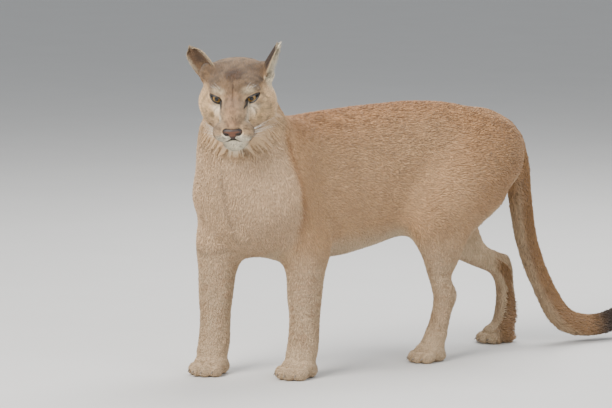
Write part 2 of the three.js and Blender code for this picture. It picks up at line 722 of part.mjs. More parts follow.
// The tail in three lengths.
const tailBox = boxOf(-60, 80, 400, 860, 4, 680);
const tailBlank = solidOf(skinOf(bodyAndTail, tailBox, cellOf.tail)).intersect(tailZone(0));
const tailMiddleCut = { point: new THREE.Vector3(9, 516, 293), normal: new THREE.Vector3(0, 0.2, -0.98) };
const tailTipCut = { point: new THREE.Vector3(16, 632, 66), normal: new THREE.Vector3(0, 0.8, -0.6) };
const pastCut = (c, grow = 0) => halfSpace(c.point, c.normal, grow);
const beforeCut = (c) => halfSpace(c.point, c.normal.clone().negate());
nodes.tail_root = tailBlank.intersect(beforeCut(tailMiddleCut));
nodes.tail_middle = tailBlank.intersect(pastCut(tailMiddleCut, gap)).intersect(beforeCut(tailTipCut));
nodes.tail_tip = tailBlank.intersect(pastCut(tailTipCut, gap));

const coat = new THREE.MeshStandardMaterial({ color: 0xb59879, roughness: 0.9, metalness: 0 });
const finishes = {
  eye_left: new THREE.MeshStandardMaterial({ color: 0x9a7a3a, roughness: 0.1, metalness: 0 }),
  eye_right: new THREE.MeshStandardMaterial({ color: 0x9a7a3a, roughness: 0.1, metalness: 0 }),
  nose: new THREE.MeshStandardMaterial({ color: 0x8a5138, roughness: 0.55, metalness: 0 }),
};
const cougar = new THREE.Group();
for (const [name, solid] of Object.entries(nodes)) {
  const mesh = new THREE.Mesh(geometryOf(largestOf(solid)), finishes[name] ?? coat);
  mesh.name = name;
  cougar.add(mesh);
}

// The origin is on the floor, under the middle of the animal's own box.
const bounds = new THREE.Box3().setFromObject(cougar);
const middle = bounds.getCenter(new THREE.Vector3());
cougar.position.set(-Math.round(middle.x), -Math.round(middle.y), 0);

export default cougar;
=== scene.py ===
# A cougar standing in mid-step with its head turned to its left, dressed over its solids.
# Metres, +Z up. The trunk faces -Y, and +X is the animal's left.
import math

import bpy
import numpy as np
from mathutils import Matrix, Vector
from mathutils.kdtree import KDTree


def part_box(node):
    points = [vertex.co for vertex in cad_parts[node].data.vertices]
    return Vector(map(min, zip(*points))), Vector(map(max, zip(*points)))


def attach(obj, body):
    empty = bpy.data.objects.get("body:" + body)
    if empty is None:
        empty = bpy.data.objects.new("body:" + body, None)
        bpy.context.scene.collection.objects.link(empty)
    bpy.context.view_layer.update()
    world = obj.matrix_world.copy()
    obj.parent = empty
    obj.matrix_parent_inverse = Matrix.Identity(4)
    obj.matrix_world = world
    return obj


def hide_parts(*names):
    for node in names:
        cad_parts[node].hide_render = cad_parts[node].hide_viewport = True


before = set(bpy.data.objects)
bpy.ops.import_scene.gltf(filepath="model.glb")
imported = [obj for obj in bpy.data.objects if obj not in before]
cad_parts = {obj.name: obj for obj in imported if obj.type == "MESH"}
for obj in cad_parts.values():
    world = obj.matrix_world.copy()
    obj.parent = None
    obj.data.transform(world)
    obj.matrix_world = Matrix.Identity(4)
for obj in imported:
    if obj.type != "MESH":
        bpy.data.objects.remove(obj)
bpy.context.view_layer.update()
rng = np.random.default_rng(11)
mm = 0.001
print("frame loaded")


# Small helpers
def deselectAll():
    if bpy.context.object and bpy.context.object.mode != "OBJECT":
        bpy.ops.object.mode_set(mode="OBJECT")
    bpy.ops.object.select_all(action="DESELECT")


def makeActive(piece):
    deselectAll()
    piece.select_set(True)
    bpy.context.view_layer.objects.active = piece


def applyModifier(piece, kind, **settings):
    makeActive(piece)
    modifier = piece.modifiers.new(kind.title(), kind)
    for name, value in settings.items():
        setattr(modifier, name, value)
    bpy.ops.object.modifier_apply(modifier=modifier.name)


def copyNode(name):
    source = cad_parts[name]
    copy = source.copy()
    copy.data = source.data.copy()
    copy.parent = None
    for key in [k for k in copy.keys() if k.startswith("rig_")]:
        del copy[key]
    bpy.context.scene.collection.objects.link(copy)
    return copy


def readMesh(items, attribute, width=1, kind=np.float64):
    values = np.empty(len(items) * width, kind)
    items.foreach_get(attribute, values)
    return values.reshape(-1, width) if width > 1 else values


def verticesOf(piece):
    return readMesh(piece.data.vertices, "co", 3)


def normalsOf(piece):
    return readMesh(piece.data.vertices, "normal", 3)


# The vertex that each corner of the faces uses
def cornersOf(piece):
    return readMesh(piece.data.loops, "vertex_index", kind=np.int32)


def uvsOf(piece):
    return readMesh(piece.data.uv_layers["OFBake"].data, "uv", 2, np.float32)


# Gives every face corner the UV of its vertex
def setUvs(piece, name, perVertex):
    layer = piece.data.uv_layers.new(name=name)
    layer.data.foreach_set("uv", perVertex[cornersOf(piece)].astype(np.float32).ravel())


def setVertices(piece, points):
    piece.data.vertices.foreach_set("co", np.ascontiguousarray(points).ravel())
    piece.data.update()


def linked(name, data):
    piece = bpy.data.objects.new(name, data)
    bpy.context.scene.collection.objects.link(piece)
    return piece


# points is an array of corners and faces one array of equal-sided faces, or a list of such arrays
def meshFrom(name, points, faces):
    groups = faces if isinstance(faces, list) else [faces]
    mesh = bpy.data.meshes.new(name)
    mesh.vertices.add(len(points))
    mesh.vertices.foreach_set("co", np.ascontiguousarray(points, dtype=np.float32).ravel())
    sides = np.concatenate([np.full(len(g), g.shape[1]) for g in groups])
    starts = np.concatenate([[0], np.cumsum(sides)[:-1]])
    mesh.loops.add(int(sides.sum()))
    mesh.loops.foreach_set("vertex_index", np.concatenate([g.ravel() for g in groups]).astype(np.int32))
    mesh.polygons.add(len(sides))
    mesh.polygons.foreach_set("loop_start", starts.astype(np.int32))
    mesh.update(calc_edges=True)
    mesh.validate()
    return linked(name, mesh)


def joinInto(target, others):
    deselectAll()
    for piece in [target, *others]:
        piece.select_set(True)
    bpy.context.view_layer.objects.active = target
    bpy.ops.object.join()


# Runs one operator on the whole mesh in edit mode
def editAll(piece, operator, **settings):
    makeActive(piece)
    bpy.ops.object.mode_set(mode="EDIT")
    bpy.ops.mesh.select_all(action="SELECT")
    operator(**settings)
    bpy.ops.object.mode_set(mode="OBJECT")


def shadeSmooth(piece):
    makeActive(piece)
    bpy.ops.object.shade_smooth()


def faceOutward(piece):
    editAll(piece, bpy.ops.mesh.normals_make_consistent, inside=False)
    shadeSmooth(piece)


def smoothStep(low, high, value):
    t = np.clip((value - low) / (high - low), 0, 1)
    return t * t * (3 - 2 * t)


def fade(low, high, value):
    return 1 - smoothStep(low, high, value)


def bell(distance, width):
    return np.exp(-((distance / width) ** 2))


def unit(vectors):
    return vectors / np.maximum(np.linalg.norm(vectors, axis=-1, keepdims=True), 1e-12)


# Smooth noise from 0 to 1 at the points, with cells of about that scale in metres
def valueNoise(points, scale, seed=0):
    primes = (73856093, 19349663, 83492791, 2654435761, 2246822519, 3266489917)  # they scramble the cells
    word = 0xFFFFFFFF
    p = points / scale + 1000
    cell = np.floor(p).astype(np.int64)
    f = p - cell
    f = f * f * (3 - 2 * f)
    total = np.zeros(len(points))
    for corner in range(8):
        step = np.array([corner & 1, corner >> 1 & 1, corner >> 2 & 1])
        c = cell + step
        h = c[:, 0] * primes[0] ^ c[:, 1] * primes[1] ^ c[:, 2] * primes[2] ^ (seed + 7) * primes[3]
        h = h & word
        h = (h ^ (h >> 15)) * primes[4] & word
        h = (h ^ (h >> 13)) * primes[5] & word
        random = ((h ^ (h >> 16)) & 0xFFFF) / 65535
        weight = np.prod(np.where(step, f, 1 - f), axis=1)
        total += random * weight
    return total


# The head's own axes, from the CAD eyes: across to its left, ahead along the muzzle, and up
headSettings = {"yaw": 54, "pitch": 24, "roll": -2, "eyeAhead": -15 * mm, "eyeUp": -1 * mm}
headTurn = np.array(
    Matrix.Rotation(math.radians(headSettings["yaw"]), 3, "Z")
    @ Matrix.Rotation(math.radians(headSettings["pitch"]), 3, "X")
    @ Matrix.Rotation(math.radians(headSettings["roll"]), 3, "Y")
)
acrossAxis, aheadAxis, upAxis = headTurn[:, 0], -headTurn[:, 1], headTurn[:, 2]


def boxCentre(node):
    low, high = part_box(node)
    return (np.array(low) + np.array(high)) / 2


eyeCentres = {+1: boxCentre("eye_left"), -1: boxCentre("eye_right")}
eyesMiddle = (eyeCentres[1] + eyeCentres[-1]) / 2
eyesMiddle = eyesMiddle - headSettings["eyeAhead"] * aheadAxis - headSettings["eyeUp"] * upAxis


def onHead(across, ahead, up):
    return eyesMiddle + mm * (across * acrossAxis + ahead * aheadAxis + up * upAxis)


# Places in the head's axes, in millimetres
def toHead(points):
    q = (points - eyesMiddle) / mm
    return np.stack([q @ acrossAxis, q @ aheadAxis, q @ upAxis], axis=-1)


def fromHead(q):
    return eyesMiddle + mm * (q @ np.stack([acrossAxis, aheadAxis, upAxis]))


# The head as rounded masses in its own axes, in millimetres
def mass(centre, radii, tilt=0.0):
    c, s = math.cos(tilt), math.sin(tilt)

    def field(q):
        d = q - np.array(centre)
        ahead = d[:, 1] * c + d[:, 2] * s
        up = d[:, 2] * c - d[:, 1] * s
        x, y, z = d[:, 0], ahead, up
        k0 = np.sqrt((x / radii[0]) ** 2 + (y / radii[1]) ** 2 + (z / radii[2]) ** 2)
        k1 = np.sqrt((x / radii[0] ** 2) ** 2 + (y / radii[1] ** 2) ** 2 + (z / radii[2] ** 2) ** 2)
        return k0 * (k0 - 1) / np.maximum(k1, 1e-9)

    return field


def rod(start, end, startRadius, endRadius):
    a, b = np.array(start, float), np.array(end, float)
    span = b - a

    def field(q):
        t = np.clip((q - a) @ span / (span @ span), 0, 1)
        radius = startRadius + t * (endRadius - startRadius)
        return np.linalg.norm(q - a - t[:, None] * span, axis=1) - radius

    return field


def smoothMin(a, b, softness):
    h = np.maximum(softness - np.abs(a - b), 0) / softness
    return np.minimum(a, b) - h * h * softness / 4


def blend(softness, *fields):
    def field(q):
        d = fields[0](q)
        for other in fields[1:]:
            d = smoothMin(d, other(q), softness)
        return d

    return field


def hollow(softness, body, *tools):
    def field(q):
        d = body(q)
        for tool in tools:
            d = -smoothMin(-d, tool(q), softness)
        return d

    return field


def bothSides(make):
    return [make(+1), make(-1)]


skull = blend(
    22,
    mass((0, -76, 2), (76, 74, 58)),
    mass((0, -36, 10), (58, 46, 40)),
    *bothSides(lambda s: mass((s * 57, -50, -30), (37, 44, 38))),
    *bothSides(lambda s: mass((s * 56, -60, -62), (35, 42, 34))),
    rod((-34, -82, 30), (34, -82, 30), 27, 27),
    rod((0, -2, -6), (0, 34, -22), 29, 25),
    rod((0, 34, -22), (0, 60, -40), 25, 20),
    *bothSides(lambda s: mass((s * 35, 12, -36), (17, 20, 16))),
    *bothSides(lambda s: rod((s * 14, 34, -90), (s * 38, -38, -80), 21, 27)),
)
brows = bothSides(lambda s: mass((s * 38, -15, 17), (22, 15, 9), 0.3))
orbits = bothSides(lambda s: mass((s * 41, -17, -2), (24, 16.5, 17)))
muzzle = blend(
    9,
    *bothSides(lambda s: mass((s * 23, 54, -60), (28, 27, 24))),
    mass((0, 48, -93), (27, 26, 19)),
    mass((0, 40, -64), (42, 28, 32)),
)
earMounds = bothSides(lambda s: mass((s * 67, -80, 26), (24, 24, 30)))
tearHollows = bothSides(lambda s: mass((s * 25, 10, -12), (5.5, 10, 6.5)))
headField = hollow(
    9,
    blend(12, blend(12, blend(14, skull, *brows), *orbits), muzzle, *earMounds),
    *tearHollows,
)
noseField = blend(
    5,
    mass((0, 74, -47), (23, 10, 8)),
    *bothSides(lambda s: mass((s * 14, 73, -51), (9, 9, 8))),
    mass((0, 77, -57), (8, 7, 9)),
)
nostrils = bothSides(lambda s: mass((s * 15, 82, -52), (5.5, 6, 3.2)))

mouthLine = np.array([
    (-50, 20, -76), (-42, 46, -83), (-25, 70, -84), (-8, 79, -77), (0, 82, -75),
    (8, 79, -77), (25, 70, -84), (42, 46, -83), (50, 20, -76),
], float)
lipCleft = np.array([(0, 80, -62), (0, 82, -68), (0, 82, -75)], float)


# A smooth path through the points (Catmull-Rom)
def throughPoints(points, steps=8):
    p = np.vstack([2 * points[0] - points[1], points, 2 * points[-1] - points[-2]])
    t = np.linspace(0, 1, steps, endpoint=False)[:, None]
    path = []
    for a, b, c, d in zip(p[:-3], p[1:-2], p[2:-1], p[3:]):
        squared, cubed = 2 * a - 5 * b + 4 * c - d, 3 * b - a - 3 * c + d
        path.append(0.5 * (2 * b + (c - a) * t + squared * t**2 + cubed * t**3))
    return np.vstack(path + [points[-1:]])


def distanceToPath(q, path):
    nearest = np.full(len(q), 1e9)
    for a, b in zip(path[:-1], path[1:]):
        span = b - a
        t = np.clip((q - a) @ span / (span @ span), 0, 1)
        nearest = np.minimum(nearest, np.linalg.norm(q - a - t[:, None] * span, axis=1))
    return nearest


mouthPath = throughPoints(mouthLine)
cleftPath = throughPoints(lipCleft)

# The eye opening, as an almond round the line of sight
lidSettings = {
    "ball": 17.2, "width": 17.6, "upper": 9.6, "lower": 9.4, "innerDrop": 5.5, "outerRise": 5.0,
    "flat": 0.92, "gazeOut": 0.16, "rim": 2.0, "rimSteps": 64,
}


def gazeAxes(side):
    out = side * lidSettings["gazeOut"]
    ahead = aheadAxis * math.cos(out) + acrossAxis * math.sin(out)
    across = acrossAxis * math.cos(out) - aheadAxis * math.sin(out)
    return across * side, ahead, upAxis


# Places in an eye's own axes: outward, ahead and up from its middle, in millimetres
def toEye(q, side):
    middle = toHead(eyeCentres[side][None])[0]
    toAxes = np.stack([[k @ acrossAxis, k @ aheadAxis, k @ upAxis] for k in gazeAxes(side)])
    return (q - middle) @ toAxes.T, middle, toAxes


# The opening's outline as (outward, up) in millimetres, inner corner first
def almond(count):
    t = np.linspace(0, 2 * np.pi, count, endpoint=False)
    outward = -np.cos(t) * lidSettings["width"]
    rise = np.sin(t)
    lift = np.where(rise > 0, lidSettings["upper"] * rise**1.15, -lidSettings["lower"] * (-rise) ** 1.3)
    slant = lidSettings["innerDrop"] + lidSettings["outerRise"]
    tilt = -lidSettings["innerDrop"] + slant * (outward / lidSettings["width"] + 1) / 2
    return outward, lift * lidSettings["flat"] + tilt


# How far inside the opening a place is, from 1 at its middle to 0 at the rim and below outside
def insideAlmond(outward, up, grow=0.0):
    x = outward / (lidSettings["width"] + grow)
    tilt = -lidSettings["innerDrop"] + (lidSettings["innerDrop"] + lidSettings["outerRise"]) * (x + 1) / 2
    y = up - tilt
    half = np.where(y > 0, lidSettings["upper"], lidSettings["lower"]) * lidSettings["flat"] + grow
    return 1 - (np.abs(x) ** 1.9 + np.abs(y / half) ** 1.6)


# The skin: copies of the solids of the flesh, fused, smoothed and then worked over
fleshNodes = [
    "head", "neck", "torso", "foreleg_left", "foreleg_right", "hindleg_left", "hindleg_right",
    "forepaw_left", "forepaw_right", "hindpaw_left", "hindpaw_right", "tail_root", "tail_middle", "tail_tip",
]
skinSettings = {"voxel": 6.2 * mm, "smoothSteps": 26, "pawSteps": 5, "coatDepth": 5 * mm, "headDepth": 1.6}


def fuseFlesh():
    body, *others = [copyNode(name) for name in fleshNodes]
    joinInto(body, others)
    body.name = "skin"
    editAll(body, bpy.ops.mesh.remove_doubles, threshold=0.02 * mm)
    applyModifier(body, "REMESH", mode="VOXEL", voxel_size=skinSettings["voxel"], adaptivity=0)
    return body


# 1 on the face and skull, fading to 0 down the neck
def headWeight(points):
    q = toHead(points)
    behind = smoothStep(-150, -105, q[:, 1] + 0.35 * (q[:, 2] + 40))
    below = smoothStep(-150, -112, q[:, 2] + 0.25 * q[:, 1])
    near = fade(150, 175, np.linalg.norm(q - np.array([0, -30, -20]), axis=1))
    return behind * below * near


def setWeights(piece, name, weights):
    group = piece.vertex_groups.new(name=name)
    levels = np.round(weights * 20).astype(int)
    for level in range(1, 21):
        members = np.nonzero(levels == level)[0].tolist()
        if members:
            group.add(members, level / 20, "REPLACE")


def smoothed(piece, steps, weights, name):
    setWeights(piece, name, weights)
    applyModifier(piece, "SMOOTH", factor=0.5, iterations=steps, vertex_group=name)


# Splits the faces whose corners are all chosen
def subdivideWhere(piece, chosen):
    makeActive(piece)
    bpy.ops.object.mode_set(mode="EDIT")
    bpy.ops.mesh.select_mode(type="VERT")
    bpy.ops.mesh.select_all(action="DESELECT")
    bpy.ops.object.mode_set(mode="OBJECT")
    mesh = piece.data
    picked = chosen(verticesOf(piece))
    corner = cornersOf(piece)
    starts = readMesh(mesh.polygons, "loop_start", kind=np.int32)
    whole = np.minimum.reduceat(picked[corner].astype(np.int32), starts).astype(bool)
    mesh.polygons.foreach_set("select", whole)
    onFace = np.zeros(len(mesh.vertices), bool)
    onFace[corner[np.repeat(whole, np.diff(np.append(starts, len(corner))))]] = True
    mesh.vertices.foreach_set("select", onFace)
    edges = readMesh(mesh.edges, "vertices", 2, np.int32)
    mesh.edges.foreach_set("select", onFace[edges].all(axis=1))
    bpy.ops.object.mode_set(mode="EDIT")
    bpy.ops.mesh.subdivide(number_cuts=1)
    bpy.ops.object.mode_set(mode="OBJECT")


# How much the field grows from one side of each place to the other, along the three axes
def differences(field, q, h):
    return np.stack([field(q + step) - field(q - step) for step in h * np.eye(3)], axis=1)


# Moves the points onto the surface that lies that depth inside the field, all in head millimetres
def drawnOnto(points, field, depth, passes=6):
    q = points.copy()
    h = 0.25
    for _ in range(passes):
        d = field(q) + depth
        slope = differences(field, q, h) / (2 * h)
        q -= slope * (d / np.maximum((slope**2).sum(axis=1), 0.25))[:, None] * 0.9
    return q


# The lines of the mouth, the cleft and the tear stains, brought onto the surface
mouthPath = drawnOnto(mouthPath, headField, skinSettings["headDepth"])
cleftPath = drawnOnto(cleftPath, headField, skinSettings["headDepth"])
tearPaths = []
for side in (+1, -1):
    tear = np.array([(27, 6, -7), (24, 12, -14), (22, 18, -24), (22, 24, -33)]) * (side, 1.0, 1.0)
    tearPaths.append(drawnOnto(throughPoints(tear, 4), headField, skinSettings["headDepth"]))

skin = fuseFlesh()
points = verticesOf(skin)
headShare = headWeight(points)
pawShare = fade(0.05, 0.10, points[:, 2])
besideTail = np.abs(points[:, 0] + 0.02) - 0.03
tailShare = smoothStep(0.30, 0.36, points[:, 1]) * fade(0.0, 0.03, besideTail)
trunkShare = (1 - headShare) * (1 - pawShare) * (1 - 0.6 * tailShare)
smoothed(skin, skinSettings["smoothSteps"], trunkShare, "trunkAndLegs")
smoothed(skin, skinSettings["pawSteps"], np.clip(headShare + pawShare + tailShare, 0, 1), "fine")
print("skin fused", len(skin.data.vertices))


def faceZone(p):
    return (headWeight(p) > 0.3) & (toHead(p)[:, 1] > -95)


def eyeOrMouthZone(p):
    q = toHead(p)
    nearEye = np.minimum(*bothSides(lambda s: np.linalg.norm(q - np.array([s * 42, -5, -1]), axis=1))) < 34
    nearMouth = distanceToPath(q, mouthPath) < 9
    nearNose = np.linalg.norm(q - np.array([0, 74, -56]), axis=1) < 32
    return nearEye | nearMouth | nearNose


subdivideWhere(skin, faceZone)
points = verticesOf(skin)
share = headWeight(points)
q = toHead(points)
chosen = share > 0.02
onMasses = drawnOnto(q[chosen], headField, skinSettings["headDepth"])
q[chosen] += (onMasses - q[chosen]) * share[chosen, None]
setVertices(skin, fromHead(q))
smoothed(skin, 2, headWeight(verticesOf(skin)), "evened")
subdivideWhere(skin, eyeOrMouthZone)
print("face refined", len(skin.data.vertices))


# Draws the fine mesh to the masses again, then presses in the mouth, the cleft, the nose's bed
# and the eye sockets
def workFace():
    points = verticesOf(skin)
    q = toHead(points)
    share = headWeight(points)
    chosen = share > 0.6
    face = drawnOnto(q[chosen], headField, skinSettings["headDepth"], 4)
    inward = -unit(differences(headField, face, 0.3))
    mouth = distanceToPath(face, mouthPath)
    cleft = distanceToPath(face, cleftPath)
    face += inward * (3.4 * bell(mouth, 2.6) - 0.9 * bell(mouth - 6, 3.0) * (face[:, 1] > 45))[:, None]
    face += inward * (2.6 * bell(cleft, 2.2))[:, None]
    inNose = np.clip(-(noseField(face) - 1.0), 0, 6)
    face += inward * inNose[:, None] * 0.9
    for side in (+1, -1):
        local, middle, toAxes = toEye(face, side)
        within = insideAlmond(local[:, 0], local[:, 2], 1.0)
        nearFront = (local[:, 1] > -4) & (np.abs(local[:, 0]) < 30) & (np.abs(local[:, 2]) < 24)
        radial = np.linalg.norm(local, axis=1)
        lidRadius = lidSettings["ball"] + 2.2
        outside = np.clip(-within, 0, 1.6) / 1.6
        lidBlend = fade(0.0, 1.0, outside) * nearFront
        onLid = local / radial[:, None] * lidRadius
        shaped = local + (onLid - local) * (lidBlend * (within <= 0))[:, None]
        sunk = local / radial[:, None] * (lidSettings["ball"] - 3)
        shaped = np.where(((within > 0) & nearFront)[:, None], sunk, shaped)
        face = middle + shaped @ toAxes
    q[chosen] += (face - q[chosen]) * smoothStep(0.6, 0.8, share[chosen])[:, None]
    setVertices(skin, fromHead(q))


workFace()


# Each paw has two pads and four toes; the fine mesh is drawn onto them in the paw's own axes,
# in millimetres
bodyOrigin = eyesMiddle - mm * np.array([180, -439, 703])
pawSettings = {
    "forepaw_left": {"at": (133.9, -216.9), "heading": 0.303, "size": 1},
    "forepaw_right": {"at": (-27.6, -377.6), "heading": 0.494, "size": 1},
    "hindpaw_left": {"at": (90, 190), "heading": 0.06, "size": 0.88},
    "hindpaw_right": {"at": (-80, 508), "heading": -0.1, "size": 0.88},
}
toePlaces = ((-31, 47, 14), (-11, 62, 15), (11, 62, 15), (31, 47, 14))  # across, ahead, radius


def pawAxes(paw):
    c, s = math.cos(paw["heading"]), math.sin(paw["heading"])
    return np.array([[c, s, 0], [s, -c, 0], [0, 0, 1]]), bodyOrigin + mm * np.array([*paw["at"], 0])


pawField = blend(
    3.2,
    blend(18, mass((0, 22, 30), (39, 44, 26)), mass((0, 2, 16), (34, 34, 20))),
    *[
        blend(
            8,
            mass((across, ahead, 15), (radius, 24, 18)),
            mass((across * 0.9, ahead - 24, 32), (radius, 24, 15)),
        )
        for across, ahead, radius in toePlaces
    ],
)


def nearPaw(points):
    return points[:, 2] < 0.062


def workPaws():
    subdivideWhere(skin, nearPaw)
    points = verticesOf(skin)
    for paw in pawSettings.values():
        axes, origin = pawAxes(paw)
        q = (points - origin) / mm @ axes.T / paw["size"]
        near = (np.abs(q[:, 0]) < 75) & (np.abs(q[:, 1] - 30) < 90) & (q[:, 2] < 72)
        share = fade(34, 60, q[near, 2] - 0.25 * q[near, 1] + 6)
        onPaw = drawnOnto(q[near], pawField, 1.4, 5)
        moved = q[near] + (onPaw - q[near]) * share[:, None]
        points[near] = origin + mm * (moved * paw["size"]) @ axes
    points[:, 2] = np.maximum(points[:, 2], 0.4 * mm)
    setVertices(skin, points)
    print("paws shaped", len(skin.data.vertices))


workPaws()

# The rest of the skin sinks by the depth of the coat, less on the feet
points = verticesOf(skin)
normals = normalsOf(skin)
depth = skinSettings["coatDepth"] * (1 - headWeight(points)) * smoothStep(0.05, 0.16, points[:, 2])
points = points - normals * depth[:, None]
points[:, 2] = np.maximum(points[:, 2], 0.4 * mm)
setVertices(skin, points)
shadeSmooth(skin)
print("skin shaped")


sideNames = {+1: "Left", -1: "Right"}

# Ears: cupped leaves, as wide and as turned as the solids, but thinner towards the rim
earSettings = {
    "height": 92, "halfWidth": 34, "cup": 21, "wall": 4.6, "rootDepth": 24,
    "widestAt": 0.46, "roundness": 3.4, "cells": 30,
    +1: {"base": (76, -82, 43), "lean": 0.6, "turn": 1.5, "back": -0.1},
    -1: {"base": (-74, -82, 40), "lean": 0.64, "turn": 0.36, "back": -0.1},
}


# A place on the leaf in its own axes: u across from -1 to 1, v from root to tip, deep into the wall
def earSurface(u, v, deep):
    s = earSettings
    past = np.clip((v - s["widestAt"]) / (1 - s["widestAt"]), 0, 1)
    rootwards = 0.86 + 0.14 * np.minimum(1, v / s["widestAt"])
    width = s["halfWidth"] * (1 - past ** s["roundness"]) ** 0.5 * rootwards
    angle = u * 1.25 * (1 - 0.25 * v)
    depth = s["cup"] * (1 - 0.55 * v)
    reach = np.maximum(width - deep * 0.9, 0.4)
    return np.stack([
        reach * np.sin(angle) / math.sin(1.25),
        depth * (1 - np.cos(angle)) * -1.4 + depth * 0.6 - deep,
        s["height"] * v * (1 - 0.06 * u * u) - s["rootDepth"],
    ], axis=-1)


def earPlace(side):
    s = earSettings[side]
    turn = np.array(
        Matrix.Rotation(side * s["lean"], 3, "Y")
        @ Matrix.Rotation(side * s["turn"], 3, "Z")
        @ Matrix.Rotation(s["back"], 3, "X")
    )
    base = toHead(onHead(*s["base"])[None])[0]
    # the leaf's own axes: across, towards the face (its -Y) and up
    toRow = headTurn @ turn
    return lambda local: onHead(*base) + mm * local @ toRow.T


def gridFaces(rows, columns, start=0, flip=False):
    i, j = np.meshgrid(np.arange(rows - 1), np.arange(columns - 1), indexing="ij")
    a = (start + i * columns + j).ravel()
    faces = np.stack([a, a + columns, a + columns + 1, a + 1], axis=1)
    return faces[:, ::-1] if flip else faces


def earWall(u, v):
    return earSettings["wall"] * (1 - 0.5 * v) * (1 - 0.75 * np.abs(u) ** 4)


def addEar(side):
    n = earSettings["cells"]
    u, v = np.meshgrid(np.linspace(-1, 1, n + 1), np.sin(np.linspace(0, 1, n + 1) * np.pi / 2) ** 1.1 * 0.992)
    outer = earSurface(u, v, 0.0).reshape(-1, 3)
    inner = earSurface(u * 0.985, v * 0.992, earWall(u, v)).reshape(-1, 3)
    points = earPlace(side)(np.vstack([outer, inner]))
    m = n + 1
    rim = []
    path = [(0, j) for j in range(m)] + [(i, n) for i in range(1, m)] + [(n, j) for j in range(n - 1, -1, -1)]
    path += [(i, 0) for i in range(n - 1, 0, -1)]
    for (i, j), (k, l) in zip(path, path[1:] + path[:1]):
        rim.append((i * m + j, k * m + l, m * m + k * m + l, m * m + i * m + j))
    faces = np.vstack([gridFaces(m, m), gridFaces(m, m, m * m, True), np.array(rim)])
    ear = meshFrom(f"ear{sideNames[side]}", points, faces)
    faceOutward(ear)
    return ear


ears = {side: addEar(side) for side in (+1, -1)}
print("ears made")

# Colours of the coat, as seen in soft daylight
tones = {
    "back": (188, 144, 106), "spine": (150, 108, 76), "flank": (196, 160, 124), "haunch": (166, 127, 90),
    "chest": (212, 184, 156), "belly": (226, 211, 188), "leg": (196, 172, 146), "legInside": (214, 192, 165),
    "neck": (178, 150, 121), "tail": (158, 123, 88), "dark": (52, 42, 37), "throat": (176, 145, 112),
    "forehead": (134, 108, 83), "crown": (92, 64, 40), "brow": (214, 197, 172), "bridge": (162, 130, 104),
    "underEye": (236, 219, 198), "cheek": (232, 200, 160), "jaw": (198, 168, 136), "pad": (242, 234, 219),
    "padSide": (92, 76, 67), "chin": (236, 228, 211), "rim": (24, 19, 17), "earBack": (66, 53, 46),
    "earEdge": (206, 186, 158), "earIn": (104, 80, 60), "fringe": (238, 226, 204),
}


def linear(rgb):
    c = np.array(rgb, float) / 255
    return np.where(c <= 0.04045, c / 12.92, ((c + 0.055) / 1.055) ** 2.4)


tones = {name: linear(rgb) * (1.03, 1.0, 0.9) for name, rgb in tones.items()}


def toned(colour, name, share):
    return colour + (tones[name] - colour) * np.clip(share, 0, 1)[:, None]


def layered(colour, layers):
    for name, share in layers:
        colour = toned(colour, name, share)
    return colour


# Distance beside the spine, and along it from the middle of the trunk, as if it were straight
def alongSpine(points):
    x, y = ((points - bodyOrigin)[:, :2]).T
    bend = 0.88
    reach = np.hypot(bend - x, y)
    ahead = y < 0
    return np.where(ahead, bend - reach, x), np.where(ahead, -np.arctan2(-y, bend - x) * bend, y)


